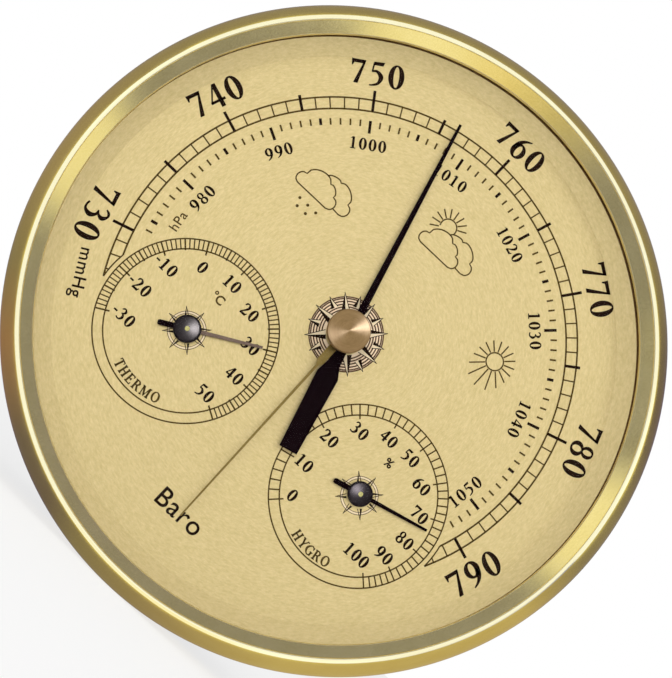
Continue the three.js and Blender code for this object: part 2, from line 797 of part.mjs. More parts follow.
// A small instrument behind the dial: strap, coil and arbor
function addSmallMovement(name, coilName, x) {
  const strap = uprightSlot(0, -strapPost, strapPost, strapHalfWidth * 2);
  strap.holes.push(circle(0, 0, pivotRadius + boreGap));
  const strapFront = strapDepth + strapThickness;
  const postRear = strapDepth + strapThickness / 2;
  const posts = [-strapPost, strapPost].map((z) =>
    bar(strapPostRadius, postRear, dialRear - seatGap).translate(0, 0, z),
  );
  const bracket = joinPieces(plate(strap, strapDepth, strapThickness), ...posts);
  addPiece(`${name}_bracket`, bracket, "brass", x, smallDialZ);
  const coil = spiral(coilInner, coilOuter, coilTurns, coilStrip);
  addPiece(coilName, plate(coil, coilDepth, coilHeight), "nickel", x, smallDialZ, 90);
  const arbor = steppedBar([
    [pivotRadius, strapFront - pivotLength],
    [pivotRadius, strapFront + seatGap],
    [arborRadius, strapFront + seatGap],
    [arborRadius, coilDepth],
    [colletRadius, coilDepth],
    [colletRadius, coilDepth + coilHeight],
    [arborRadius, coilDepth + coilHeight],
    [arborRadius, dialDepth + smallPinRise],
  ]);
  addPiece(`${name}_arbor`, arbor, "brass", x, smallDialZ);
}

// Hand of a small dial: a hub with a needle and a short tail
function addSmallHand(name, hubRadius, x, angle) {
  const blade = polygon([
    [-smallHandBase / 2, 0],
    [-smallTailWidth / 2, -hubRadius],
    [-smallTailWidth / 2, -smallHandTail],
    [smallTailWidth / 2, -smallHandTail],
    [smallTailWidth / 2, -hubRadius],
    [smallHandBase / 2, 0],
    [smallHandTip / 2, smallHandLength],
    [-smallHandTip / 2, smallHandLength],
  ]);
  const rear = dialDepth + smallHandRise;
  const hub = bar(hubRadius, rear, rear + smallHubHeight, middleSides);
  const whole = joinPieces(hub, plate(blade, rear, handThickness));
  const bore = bar(arborRadius + boreGap, rear - seatGap, rear + smallHubHeight + seatGap);
  addPiece(name, cutPieces(whole, [bore]), "black", x, smallDialZ, angle);
}

// Pressure pointer: a long needle with a broad counterweight tail
function addPressurePointer() {
  const half = [
    [pointerTip / 2, pointerLength],
    [pointerBase / 2, 0],
    [pointerNeck / 2, -pointerHubRadius],
    [pointerShoulderWidth / 2, -pointerShoulder],
    [pointerTailEnd / 2, -pointerTail],
  ];
  const mirrored = half.map(([x, y]) => [-x, y]).reverse();
  const rear = dialDepth + pointerRise;
  const hub = circle(0, 0, pointerHubRadius, middleSides);
  const whole = joinPieces(
    plate(hub, rear, handThickness),
    plate(polygon([...half, ...mirrored].reverse()), rear, handThickness),
  );
  const bore = bar(arborRadius + boreGap, rear - seatGap, rear + handThickness + seatGap);
  addPiece("pressure_pointer", cutPieces(whole, [bore]), "black", 0, 0, pointerAngle);
}

// Setting hand with its shaft, spring washer and knob
function addSettingHand() {
  const rear = dialDepth + setHandRise;
  const front = rear + setHandThickness;
  const half = [
    [setHandTip / 2, setHandLength],
    [setHandBase / 2, setRootLength + setShoulder],
    [setRootWidth / 2, setRootLength],
    [setRootWidth / 2, 0],
  ];
  const mirrored = half.map(([x, y]) => [-x, y]).reverse();
  const whole = joinPieces(
    plate(circle(0, 0, setHubRadius, middleSides), rear, setHandThickness),
    plate(polygon([...half, ...mirrored].reverse()), rear, setHandThickness),
  );
  const bore = bar(setShaftRadius + boreGap, rear - seatGap, front + seatGap);
  addPiece("set_hand", cutPieces(whole, [bore]), "brass", 0, 0, setHandAngle);
  const washerBore = setShaftRadius + boreGap;
  const washer = tube(washerBore, washerRadius, front + seatGap, lensRear - seatGap, middleSides);
  addPiece("set_washer", washer, "nylon");
  const knobRear = lensFront + seatGap;
  const knobEdge = knobRear + knobSide;
  const boreEnd = knobEdge + knobCone - knobCrown;
  addPiece("set_shaft", bar(setShaftRadius, rear, boreEnd - seatGap), "steel");
  const boreRadius = setShaftRadius + boreGap;
  const knob = turned(
    [
      [0, boreEnd],
      [boreRadius, boreEnd],
      [boreRadius, knobRear],
      [knobRadius - knobChamfer, knobRear],
      [knobRadius, knobRear + knobChamfer],
      [knobRadius, knobEdge - knobChamfer],
      [knobRadius - knobChamfer, knobEdge],
      [0, knobEdge + knobCone],
    ],
    middleSides,
  );
  addPiece("set_knob", knob, "brass");
}

addBezel();
addFront();
addRearCase();
addMovementPlate();
addBridges();
addCapsule();
addRocker();
addSector();
addPointerArbor();
addSmallMovement("thermo", "bimetal_coil", thermoX);
addSmallMovement("hygro", "humidity_coil", hygroX);
addSmallHand("thermo_hand", thermoHubRadius, thermoX, thermoAngle);
addSmallHand("hygro_hand", hygroHubRadius, hygroX, hygroAngle);
addPressurePointer();
addSettingHand();

export default station;
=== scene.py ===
"""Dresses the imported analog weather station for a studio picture.

The frame is in metres: X to the right of the dial, Z up, and the dial faces -Y. Sizes below are in
millimetres. A depth is a distance from the wall along -Y, and an angle on the dial is in degrees,
clockwise from its top.
"""

from __future__ import annotations

import json
import logging
import math
from collections.abc import Callable, Iterable
from dataclasses import dataclass, field, replace
from enum import Enum, IntEnum

import bmesh
import bpy
from mathutils import Matrix, Vector

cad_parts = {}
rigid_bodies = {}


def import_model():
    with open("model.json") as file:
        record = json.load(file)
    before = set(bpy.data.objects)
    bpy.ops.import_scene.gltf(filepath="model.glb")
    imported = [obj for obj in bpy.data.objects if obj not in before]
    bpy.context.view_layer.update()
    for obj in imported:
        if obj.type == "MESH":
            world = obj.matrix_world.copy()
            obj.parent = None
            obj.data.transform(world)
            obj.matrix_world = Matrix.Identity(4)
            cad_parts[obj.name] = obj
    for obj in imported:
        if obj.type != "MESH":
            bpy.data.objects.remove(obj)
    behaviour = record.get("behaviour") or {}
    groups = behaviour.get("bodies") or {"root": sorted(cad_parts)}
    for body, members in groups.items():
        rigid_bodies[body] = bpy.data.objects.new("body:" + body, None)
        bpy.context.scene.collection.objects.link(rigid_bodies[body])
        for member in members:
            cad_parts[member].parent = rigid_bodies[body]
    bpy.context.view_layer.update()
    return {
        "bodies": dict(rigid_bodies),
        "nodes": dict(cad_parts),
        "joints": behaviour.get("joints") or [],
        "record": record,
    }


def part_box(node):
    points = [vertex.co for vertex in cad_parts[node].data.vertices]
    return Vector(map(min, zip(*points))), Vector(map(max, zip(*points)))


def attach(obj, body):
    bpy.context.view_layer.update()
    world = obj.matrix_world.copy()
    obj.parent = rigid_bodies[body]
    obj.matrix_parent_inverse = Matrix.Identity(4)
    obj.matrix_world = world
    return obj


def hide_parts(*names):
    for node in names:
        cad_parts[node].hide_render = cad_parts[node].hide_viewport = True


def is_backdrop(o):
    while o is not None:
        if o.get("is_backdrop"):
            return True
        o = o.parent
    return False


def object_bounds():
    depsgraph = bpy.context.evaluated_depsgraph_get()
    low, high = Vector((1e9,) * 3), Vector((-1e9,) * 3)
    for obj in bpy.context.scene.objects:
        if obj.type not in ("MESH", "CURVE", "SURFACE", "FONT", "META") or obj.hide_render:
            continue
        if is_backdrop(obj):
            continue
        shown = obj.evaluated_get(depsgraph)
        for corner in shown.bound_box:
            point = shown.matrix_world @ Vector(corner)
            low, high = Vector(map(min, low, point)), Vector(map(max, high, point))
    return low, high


LOG = logging.getLogger("weather_station")
MM = 0.001
WIDE_SIDES = 256
MIDDLE_SIDES = 96
SMALL_SIDES = 48
SHARP_FROM = 32.0
MERGE_DISTANCE = 0.001
EDGE_STEPS = 2
CUT_PAST = 1.0

Point = tuple[float, float]
Loop = list[Point]
Row = tuple[float, ...]
Colour = tuple[float, float, float]
Place = tuple[float, float, float]
Glow = tuple[float, float, float, float]
Shade = tuple[int, int, int]
Inputs = dict[str | int, object]
Piece = bpy.types.Object
Mesh = bpy.types.Mesh
Material = bpy.types.Material
Tree = bpy.types.NodeTree
Node = bpy.types.Node
Socket = bpy.types.NodeSocket

MIDDLE: Point = (0.0, 0.0)


def srgb(red: int, green: int, blue: int) -> Colour:
    """Turns a colour as a screen shows it into the linear one that a shader takes.

    Args:
        red: Red from 0 to 255.
        green: Green from 0 to 255.
        blue: Blue from 0 to 255.

    Returns:
        The three linear channels.
    """

    def linear(value: int) -> float:
        """One channel, made linear."""
        share = value / 255
        return share / 12.92 if share <= 0.04045 else ((share + 0.055) / 1.055) ** 2.4

    return linear(red), linear(green), linear(blue)


def on_dial(radius: float, angle: float, centre: Point = MIDDLE) -> Point:
    """A point on the dial, at a radius and a clockwise angle from the top of a centre."""
    turn = math.radians(angle)
    return centre[0] + radius * math.sin(turn), centre[1] + radius * math.cos(turn)


def arc(centre: Point, radius: float, start: float, end: float, steps: int) -> Loop:
    """Points of an arc on the dial, both ends included."""
    return [on_dial(radius, start + (end - start) * step / steps, centre) for step in range(steps + 1)]


def circle(centre: Point, radius: float, sides: int = SMALL_SIDES) -> Loop:
    """Points of a closed circle, with no point twice."""
    return arc(centre, radius, 0, 360 - 360 / sides, sides - 1)


def ellipse(centre: Point, across: float, along: float, sides: int = SMALL_SIDES) -> Loop:
    """Points of a closed ellipse with these half widths."""
    return [(centre[0] + across * x, centre[1] + along * y) for x, y in circle(MIDDLE, 1.0, sides)]


def quarter_turns(steps: int) -> list[float]:
    """The angles of a quarter turn in even steps, in radians, both ends included."""
    return [math.pi / 2 * step / steps for step in range(steps + 1)]


def bulged(corners: list[Place], closed: bool, steps: int = 12) -> Loop:
    """A path of round bumps.

    Args:
        corners: Each corner's place, and how far the side after it bulges to its left, as a share of
            half of that side.
        closed: Whether the last corner goes back to the first.
        steps: How many straight steps a bump has.

    Returns:
        The points in order.
    """
    path: Loop = []
    sides = len(corners) if closed else len(corners) - 1
    for index in range(sides):
        x, y, bulge = corners[index]
        if not bulge:
            path.append((x, y))
            continue
        end_x, end_y, _ = corners[(index + 1) % len(corners)]
        half_x, half_y = (end_x - x) / 2, (end_y - y) / 2
        for step in range(steps):
            along = step / steps * 2 - 1
            rise = bulge * math.sqrt(max(0.0, 1 - along * along))
            path.append((x + half_x * (1 + along) - half_y * rise, y + half_y * (1 + along) + half_x * rise))
    if not closed:
        path.append(corners[-1][:2])
    return path


def smooth_values(rows: list[Row], steps: int = 8) -> list[Row]:
    """A smooth run of values through the given rows.

    Args:
        rows: Rows of numbers that the run passes through.
        steps: How many steps lie between two rows.

    Returns:
        The rows of the finer run.
    """

    def between(a: float, b: float, c: float, d: float, t: float) -> float:
        """The value at a share of the way from the second to the third of four values."""
        square, cube = 2 * a - 5 * b + 4 * c - d, 3 * b - a - 3 * c + d
        return 0.5 * (2 * b + (c - a) * t + square * t**2 + cube * t**3)

    fine: list[Row] = []
    last = len(rows) - 1
    for index in range(last):
        near = [rows[min(max(index + shift, 0), last)] for shift in (-1, 0, 1, 2)]
        for step in range(steps):
            fine.append(tuple(between(*values, step / steps) for values in zip(*near)))
    fine.append(rows[last])
    return fine


def depths_of(node: str) -> tuple[float, float]:
    """Depth of a node's back and of its front."""
    low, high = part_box(node)
    return -high.y / MM, -low.y / MM


def reach_of(node: str) -> float:
    """How far a node reaches to the right of the dial's axis."""
    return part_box(node)[1].x / MM


def axis_of(node: str) -> Point:
    """Where the axis of a turned node passes on the dial."""
    low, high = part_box(node)
    return (low.x + high.x) / 2 / MM, (low.z + high.z) / 2 / MM


def corners_of(node: str) -> list[Point]:
    """Radius about the dial's axis and depth of each corner of a node."""
    return [(math.hypot(v.co.x, v.co.z) / MM, -v.co.y / MM) for v in bpy.data.objects[node].data.vertices]


def linked(name: str, data: bpy.types.ID) -> Piece:
    """Links a mesh, curve, lamp or camera into the scene.

    Args:
        name: The object's name.
        data: What it shows.

    Returns:
        The object.
    """
    piece = bpy.data.objects.new(name, data)
    bpy.context.scene.collection.objects.link(piece)
    return piece


def evaluated_mesh(piece: Piece) -> Mesh:
    """A new mesh of what an object's curve or modifiers give."""
    bpy.context.view_layer.update()
    return bpy.data.meshes.new_from_object(piece.evaluated_get(bpy.context.evaluated_depsgraph_get()))


def mesh_of_curve(curve: bpy.types.Curve) -> Mesh:
    """Turns a curve into a mesh, and removes the curve.

    Args:
        curve: The curve.

    Returns:
        The mesh.
    """
    draft = linked(curve.name, curve)
    mesh = evaluated_mesh(draft)
    bpy.data.objects.remove(draft)
    bpy.data.curves.remove(curve)
    return mesh


def smooth_shade(mesh: Mesh) -> None:
    """Shades a mesh smooth, apart from its sharp edges."""
    mesh.shade_smooth()
    mesh.set_sharp_from_angle(angle=math.radians(SHARP_FROM))


def turned(
    name: str,
    profile: list[Point],
    sides: int = WIDE_SIDES,
    centre: Point = MIDDLE,
    finish_of: Callable[[float, float], int] = lambda radius, depth: 0,
) -> Piece:
    """Turns a closed profile about an axis along Y.

    Args:
        name: The piece's name.
        profile: Radius and depth pairs, round the section.
        sides: Sides of the turned piece.
        centre: Where the axis passes on the dial.
        finish_of: Gives the material slot of a face from its middle radius and depth.

    Returns:
        The piece.
    """
    made = bmesh.new()
    rings = []
    for radius, depth in profile:
        places = circle(centre, radius, sides) if radius else [centre]
        rings.append([made.verts.new((x * MM, -depth * MM, z * MM)) for x, z in places])
    for index, ring in enumerate(rings):
        following = (index + 1) % len(rings)
        other = rings[following]
        if len(ring) == 1 and len(other) == 1:
            continue
        here, there = profile[index], profile[following]
        slot = finish_of((here[0] + there[0]) / 2, (here[1] + there[1]) / 2)
        for side in range(sides):
            after = (side + 1) % sides
            corners = [ring[side % len(ring)], ring[after % len(ring)]]
            corners += [other[after % len(other)], other[side % len(other)]]
            face = made.faces.new(list(dict.fromkeys(corners)))
            face.material_index = slot
    bmesh.ops.recalc_face_normals(made, faces=made.faces)
    mesh = bpy.data.meshes.new(name)
    made.to_mesh(mesh)
    made.free()
    smooth_shade(mesh)
    return linked(name, mesh)


def plate(name: str, loops: list[Loop], rear: float, front: float, edge: float = 0.0) -> Piece:
    """A flat plate parallel to the dial, with holes where loops lie inside others.

    Args:
        name: The piece's name.
        loops: Closed outlines on the dial.
        rear: Depth of its back.
        front: Depth of its face.
        edge: Radius of its rounded edges.

    Returns:
        The piece.
    """
    curve = bpy.data.curves.new(name, "CURVE")
    curve.dimensions = "2D"
    curve.fill_mode = "BOTH"
    curve.extrude = (front - rear) / 2 - edge
    curve.bevel_depth = edge
    curve.bevel_resolution = EDGE_STEPS
    curve.offset = -edge
    for loop in loops:
        spline = curve.splines.new("POLY")
        spline.points.add(len(loop) - 1)
        for point, (x, y) in zip(spline.points, loop):
            point.co = (x, y, 0.0, 1.0)
        spline.use_cyclic_u = True
    mesh = mesh_of_curve(curve)
    depth = (front + rear) / 2
    to_frame = Matrix(((1, 0, 0, 0), (0, 0, -1, -depth), (0, 1, 0, 0), (0, 0, 0, 1)))
    mesh.transform(Matrix.Scale(MM, 4) @ to_frame)
    joined = bmesh.new()
    joined.from_mesh(mesh)
    bmesh.ops.remove_doubles(joined, verts=joined.verts, dist=MM * MERGE_DISTANCE)
    bmesh.ops.recalc_face_normals(joined, faces=joined.faces)
    joined.to_mesh(mesh)
    joined.free()
    mesh.materials.clear()
    mesh.name = name
    smooth_shade(mesh)
    return linked(name, mesh)


def turn_about(piece: Piece, angle: float, centre: Point = MIDDLE) -> None:
    """Turns a piece's mesh about a point of the dial.

    Args:
        piece: The piece.
        angle: How far it turns clockwise.
        centre: The point.
    """
    place = Vector((centre[0] * MM, 0.0, centre[1] * MM))
    turn = Matrix.Rotation(math.radians(angle), 4, "Y")
    piece.data.transform(Matrix.Translation(place) @ turn @ Matrix.Translation(-place))


def cut(piece: Piece, cutters: Iterable[Piece]) -> None:
    """Cuts other pieces out of a piece, and removes them.

    Args:
        piece: The piece that is cut.
        cutters: What is cut out of it.
    """
    for cutter in cutters:
        modifier = piece.modifiers.new("cut", "BOOLEAN")
        modifier.operation = "DIFFERENCE"
        modifier.solver = "EXACT"
        modifier.object = cutter
        mesh = evaluated_mesh(piece)
        piece.modifiers.clear()
        piece.data = mesh
        bpy.data.objects.remove(cutter)
    piece.data.name = piece.name
    smooth_shade(piece.data)


def settle(piece: Piece, body: str, finishes: list[Finish], stands_for: tuple[str, ...] = ()) -> None:
    """Dresses a new piece, makes it ride on its body and hides the nodes that it stands for.

    Args:
        piece: The piece.
        body: The body that carries it.
        finishes: Its finishes, in the order of its material slots.
        stands_for: The nodes that it replaces.
    """
    for finish in finishes:
        piece.data.materials.append(finish.material())
    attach(piece, body)
    if stands_for:
        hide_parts(*stands_for)
    LOG.info("%s rides on %s with %d faces", piece.name, body, len(piece.data.polygons))


class NodeBench:
    """Adds and links the nodes of one tree."""

    def __init__(self, tree: Tree) -> None:
        """Takes the tree to work on."""
        self.tree = tree

    def feed(self, socket: Socket, value: object) -> None:
        """Links another socket to an input, or sets the input's own value.

        Args:
            socket: The input.
            value: A socket or a plain value.
        """
        if isinstance(value, Socket):
            self.tree.links.new(value, socket)
        else:
            socket.default_value = value

    def add(self, kind: str, inputs: Inputs | None = None, **settings: object) -> Node:
        """Adds one node.

        Args:
            kind: Its type.
            inputs: Values or sockets for its inputs, by name or place.
            **settings: Its own settings.

        Returns:
            The node.
        """
        node = self.tree.nodes.new(kind)
        for name, value in settings.items():
            setattr(node, name, value)
        for name, value in (inputs or {}).items():
            self.feed(node.inputs[name], value)
        return node

    def math(self, operation: str, *values: object) -> Socket:
        """The result of a Math node on these values or sockets."""
        return self.add("ShaderNodeMath", dict(enumerate(values)), operation=operation).outputs[0]

    def vector(self, operation: str, value: Socket) -> bpy.types.NodeOutputs:
        """The results of a Vector Math node on a socket."""
        return self.add("ShaderNodeVectorMath", {0: value}, operation=operation).outputs

    def mix(self, share: Socket, low: Colour, high: Colour) -> Socket:
        """A colour between two, by a share."""
        node = self.add("ShaderNodeMix", {0: share, 6: (*low, 1.0), 7: (*high, 1.0)}, data_type="RGBA")
        return node.outputs[2]

    def span(self, value: Socket, low: float, high: float, start: float = 0.0, end: float = 1.0) -> Socket:
        """A value between two, as another one runs from its start to its end."""
        limits = {"From Min": start, "From Max": end, "To Min": low, "To Max": high}
        return self.add("ShaderNodeMapRange", {"Value": value, **limits}).outputs[0]

    def noise(self, place: Socket, scale: object, detail: float, rough: float = 0.5) -> Socket:
        """A noise over a place, at a scale that is a number or a socket."""
        inputs = {"Vector": place, "Scale": scale, "Detail": detail, "Roughness": rough}
        return self.add("ShaderNodeTexNoise", inputs).outputs[0]

    def blend(self, share: Socket, low: Node, high: Node) -> Node:
        """A shader between two, by a share."""
        return self.add("ShaderNodeMixShader", {0: share, 1: low.outputs[0], 2: high.outputs[0]})

    def surface(self, shader: Node) -> None:
        """Makes a shader the surface of the bench's material."""
        self.add("ShaderNodeOutputMaterial", {"Surface": shader.outputs[0]})


def new_material(name: str) -> tuple[Material, NodeBench]:
    """Makes a material with an empty tree.

    Args:
        name: Its name.

    Returns:
        The material and the bench of its tree.
    """
    made = bpy.data.materials.new(name)
    made.use_nodes = True
    made.node_tree.nodes.clear()
    return made, NodeBench(made.node_tree)


class Pattern(Enum):
    """How a finish varies over its surface."""

    RINGS = "ring_brushing"
    STROKES = "stroke_brushing"
    GRAIN = "moulded_grain"


class PatternShop:
    """Makes each shared pattern once, as a node group."""

    BROAD_LINES = 0.18
    BROAD_GRAIN = 0.04
    ACROSS = "Lines Across"
    ALONG = "Breaks Along"
    SCALE = "Scale"
    FINE = "Fine"
    BROAD = "Broad"

    @classmethod
    def group(cls, pattern: Pattern) -> Tree:
        """The node group of a pattern.

        Args:
            pattern: The pattern.

        Returns:
            The group's tree.
        """
        found = bpy.data.node_groups.get(pattern.value)
        if found:
            return found
        tree = bpy.data.node_groups.new(pattern.value, "ShaderNodeTree")
        if pattern is Pattern.GRAIN:
            cls._grain(tree)
        else:
            cls._lines(tree, even=pattern is Pattern.STROKES)
        return tree

    @classmethod
    def _sockets(cls, tree: Tree, values: dict[str, float]) -> None:
        """Gives a group its value inputs and its two mask outputs.

        Args:
            tree: The group's tree.
            values: Name and first value of each input.
        """
        for name, value in values.items():
            socket = tree.interface.new_socket(name, in_out="INPUT", socket_type="NodeSocketFloat")
            socket.default_value = value
        for name in (cls.FINE, cls.BROAD):
            tree.interface.new_socket(name, in_out="OUTPUT", socket_type="NodeSocketFloat")

    @classmethod
    def _lines(cls, tree: Tree, even: bool) -> None:
        """Fine broken lines in circles about the dial's axis.

        Args:
            tree: The group's tree.
            even: Whether the lines are as long on each circle, and not as many.
        """
        cls._sockets(tree, {cls.ACROSS: 3000.0, cls.ALONG: 6.0})
        bench = NodeBench(tree)
        given = bench.add("NodeGroupInput").outputs
        place = bench.add("ShaderNodeTexCoord").outputs["Object"]
        axes = bench.add("ShaderNodeSeparateXYZ", {0: place}).outputs
        flat = bench.add("ShaderNodeCombineXYZ", {0: axes[0], 1: axes[2]}).outputs[0]
        way = flat if even else bench.vector("NORMALIZE", flat)[0]
        way_axes = bench.add("ShaderNodeSeparateXYZ", {0: way}).outputs
        spread = {
            0: bench.math("MULTIPLY", bench.vector("LENGTH", flat)["Value"], given[cls.ACROSS]),
            1: bench.math("MULTIPLY", way_axes[0], given[cls.ALONG]),
            2: bench.math("MULTIPLY", way_axes[1], given[cls.ALONG]),
        }
        drawn = bench.add("ShaderNodeCombineXYZ", spread).outputs[0]
        fine = bench.noise(drawn, 1.0, detail=3.0, rough=0.65)
        broad = bench.noise(drawn, cls.BROAD_LINES, detail=2.0)
        bench.add("NodeGroupOutput", {cls.FINE: fine, cls.BROAD: broad})

    @classmethod
    def _grain(cls, tree: Tree) -> None:
        """An even grain with broad clouds over it.

        Args:
            tree: The group's tree.
        """
        cls._sockets(tree, {cls.SCALE: 1500.0})
        bench = NodeBench(tree)
        given = bench.add("NodeGroupInput").outputs
        place = bench.add("ShaderNodeTexCoord").outputs["Object"]
        fine = bench.noise(place, given[cls.SCALE], detail=4.0)
        broad_scale = bench.math("MULTIPLY", given[cls.SCALE], cls.BROAD_GRAIN)
        broad = bench.noise(place, broad_scale, detail=2.0)
        bench.add("NodeGroupOutput", {cls.FINE: fine, cls.BROAD: broad})


@dataclass(frozen=True)
class Finish:
    """A finish that becomes a material."""

    name: str
    slot: str  # The record's slot that it follows

    def material(self) -> Material:
        """The finish as a material.

        Returns:
            The material, which is made the first time.
        """
        name = f"{self.name}_finish"
        found = bpy.data.materials.get(name)
        if found:
            return found
        made, bench = new_material(name)
        bench.surface(self.shader(bench))
        return made

    def shader(self, bench: NodeBench) -> Node:
        """The shader of the finish, which each kind of finish makes in its own way."""
        raise NotImplementedError


@dataclass(frozen=True)
class SurfaceFinish(Finish):
    """An opaque finish: two close colours, a roughness range and a relief, all drawn by one pattern."""

    dark: Shade  # Colour in the pattern's low places, as a screen shows it
    light: Shade  # Colour in its high places
    rough: Point  # Lowest and highest roughness
    metallic: float = 0.0  # 1 for bare metal
    pattern: Pattern = Pattern.GRAIN  # How it varies
    lines: float = 1500.0  # Lines across a metre, or the grain's scale
    breaks: float = 6.0  # How often a line breaks, on its circle or in a metre
    relief: float = 0.002  # Height of the relief in millimetres
    turned: float = 0.0  # How strongly turning marks stretch the gloss
    gloss: float = 0.5  # Specular level
    clouds: float = 0.4  # Share of the pattern's broad part in the colour

    def shader(self, bench: NodeBench) -> Node:
        """The finish's shader.

        Args:
            bench: The bench of the material's tree.

        Returns:
            The shader's node.
        """
        sizes: Inputs = {PatternShop.SCALE: self.lines}
        if self.pattern is not Pattern.GRAIN:
            sizes = {PatternShop.ACROSS: self.lines, PatternShop.ALONG: self.breaks}
        drawn = bench.add("ShaderNodeGroup", sizes, node_tree=PatternShop.group(self.pattern)).outputs
        fine, broad = drawn[PatternShop.FINE], drawn[PatternShop.BROAD]
        clouds = bench.math("MULTIPLY", broad, self.clouds)
        blend = bench.math("MULTIPLY_ADD", fine, 1 - self.clouds, clouds)
        spread = bench.span(blend, 0.0, 1.0, start=0.3, end=0.7)
        inputs: Inputs = {
            "Base Color": bench.mix(spread, srgb(*self.dark), srgb(*self.light)),
            "Metallic": self.metallic,
            "Roughness": bench.span(spread, *self.rough),
            "Specular IOR Level": self.gloss,
        }
        if self.relief:
            bump = {"Strength": 1.0, "Distance": self.relief * MM, "Height": fine}
            inputs["Normal"] = bench.add("ShaderNodeBump", bump).outputs[0]
        if self.turned:
            round_axis = bench.add("ShaderNodeTangent", direction_type="RADIAL", axis="Y")
            inputs["Tangent"] = round_axis.outputs[0]
            inputs["Anisotropic"] = self.turned
            inputs["Anisotropic Rotation"] = 0.25
        return bench.add("ShaderNodeBsdfPrincipled", inputs)


@dataclass(frozen=True)
class GlassFinish(Finish):
    """A clear lens that lamps shine through."""

    tint: Colour
    bend: float  # Its index of refraction
    smear_scale: float = 260.0  # Scale of the smears on it
    smear: float = 0.012  # Highest roughness of the smears

    def shader(self, bench: NodeBench) -> Node:
        """The glass, which lets the light of lamps through.

        Args:
            bench: The bench of the material's tree.

        Returns:
            The shader's node.
        """
        sizes = {PatternShop.SCALE: self.smear_scale}
        smears = bench.add("ShaderNodeGroup", sizes, node_tree=PatternShop.group(Pattern.GRAIN))
        inputs = {
            "Base Color": (*self.tint, 1.0),
            "Roughness": bench.span(smears.outputs[PatternShop.BROAD], 0.0, self.smear),
            "Transmission Weight": 1.0,
            "IOR": self.bend,
        }
        glass = bench.add("ShaderNodeBsdfPrincipled", inputs)
        clear = bench.add("ShaderNodeBsdfTransparent")
        path = bench.add("ShaderNodeLightPath").outputs
        passing = bench.math("MAXIMUM", path["Is Shadow Ray"], path["Is Diffuse Ray"])
        return bench.blend(passing, glass, clear)


def metal(name: str, slot: str, dark: Shade, light: Shade, rough: Point) -> SurfaceFinish:
    """A bare metal with an even grain."""
    return SurfaceFinish(name, slot, dark, light, rough, metallic=1.0)


def polished(name: str, dark: Shade, light: Shade, rough: Point) -> SurfaceFinish:
    """A brass of the bezel with faint turning rings."""
    rings = {"pattern": Pattern.RINGS, "lines": 900.0, "breaks": 9.0, "relief": 0.0}
    return replace(metal(name, "bezel_brass", dark, light, rough), **rings)


def painted(name: str, dark: Shade, light: Shade, rough: Point, gloss: float) -> SurfaceFinish:
    """A smooth paint of the hands."""
    return SurfaceFinish(name, "hand_black", dark, light, rough, relief=0.0, gloss=gloss)


def printed(name: str, dark: Shade, light: Shade, gloss: float) -> SurfaceFinish:
    """An ink of the dial."""
    return SurfaceFinish(name, "dial_ink", dark, light, (0.5, 0.6), relief=0.0, gloss=gloss)


RIM_BRASS = polished("rim_brass", (234, 209, 104), (242, 219, 116), (0.2, 0.27))
# Pale cream brass on the crest's bead and line: a painted highlight over the crest's real gloss
CREST_PAINTED_HIGHLIGHT = polished("crest_brass", (253, 244, 198), (255, 251, 212), (0.12, 0.18))
BAND_BRASS = SurfaceFinish(
    "band_brass", "bezel_brass", (226, 206, 127), (244, 226, 153), (0.13, 0.19), metallic=1.0, lines=3200.0
)
# Pale cream brass on the lip's rounded edge: a painted highlight
LIP_PAINTED_HIGHLIGHT = SurfaceFinish(
    "edge_brass", "bezel_brass", (240, 224, 164), (248, 235, 180), (0.4, 0.5), metallic=1.0, relief=0.0
)
DIAL_GOLD = SurfaceFinish(
    "dial_gold", "dial_gold", (200, 180, 123), (222, 202, 148), (0.3, 0.4), metallic=0.7,
    pattern=Pattern.STROKES, lines=2600.0, breaks=900.0, relief=0.0008, clouds=0.12,
)
DIAL_INK = printed("dial_ink", (20, 8, 4), (34, 20, 10), 0.04)
FINE_INK = printed("fine_ink", (66, 50, 20), (84, 66, 30), 0.06)
BROWN_INK = printed("brown_ink", (76, 54, 38), (94, 70, 50), 0.06)
TAN_INK = printed("tan_ink", (220, 197, 164), (232, 211, 180), 0.1)
PALE_INK = printed("pale_ink", (212, 194, 158), (224, 207, 174), 0.1)
HAND_BLACK = painted("hand_black", (9, 3, 5), (16, 6, 9), (0.3, 0.4), 0.0)
HAND_GREY = painted("hand_grey", (92, 76, 66), (112, 95, 84), (0.3, 0.4), 0.1)
HUB_BLACK = painted("hub_black", (12, 6, 9), (20, 11, 15), (0.27, 0.31), 0.08)
KNOB_BRASS = SurfaceFinish(
    "knob_brass", "knob_brass", (134, 107, 69), (162, 133, 91), (0.36, 0.42), metallic=1.0,
    pattern=Pattern.RINGS, lines=5000.0, breaks=3.0, relief=0.0002, turned=0.9,
)
SET_HAND_BRASS = metal("set_hand_brass", "knob_brass", (126, 106, 58), (146, 126, 72), (0.35, 0.45))
PIN_BRASS = metal("pin_brass", "movement_brass", (184, 178, 110), (206, 200, 136), (0.2, 0.3))
MOVEMENT_BRASS = metal("movement_brass", "movement_brass", (186, 152, 82), (206, 174, 102), (0.28, 0.42))
MOVEMENT_STEEL = metal("movement_steel", "movement_steel", (150, 150, 150), (178, 178, 176), (0.25, 0.38))
CAPSULE_NICKEL = metal("capsule_nickel", "capsule_nickel", (196, 188, 170), (214, 206, 188), (0.22, 0.34))
CASE_PLASTIC = SurfaceFinish(
    "case_plastic", "case_plastic", (20, 20, 21), (32, 32, 34), (0.5, 0.68), relief=0.02
)
GASKET_RUBBER = SurfaceFinish(
    "gasket_rubber", "gasket_rubber", (82, 56, 27), (98, 70, 37), (0.75, 0.9), gloss=0.1
)
WASHER_NYLON = SurfaceFinish("washer_nylon", "washer_nylon", (216, 210, 196), (228, 222, 210), (0.5, 0.6))
LENS_GLASS = GlassFinish("lens_glass", "lens_glass", (1.0, 1.0, 1.0), 1.08)

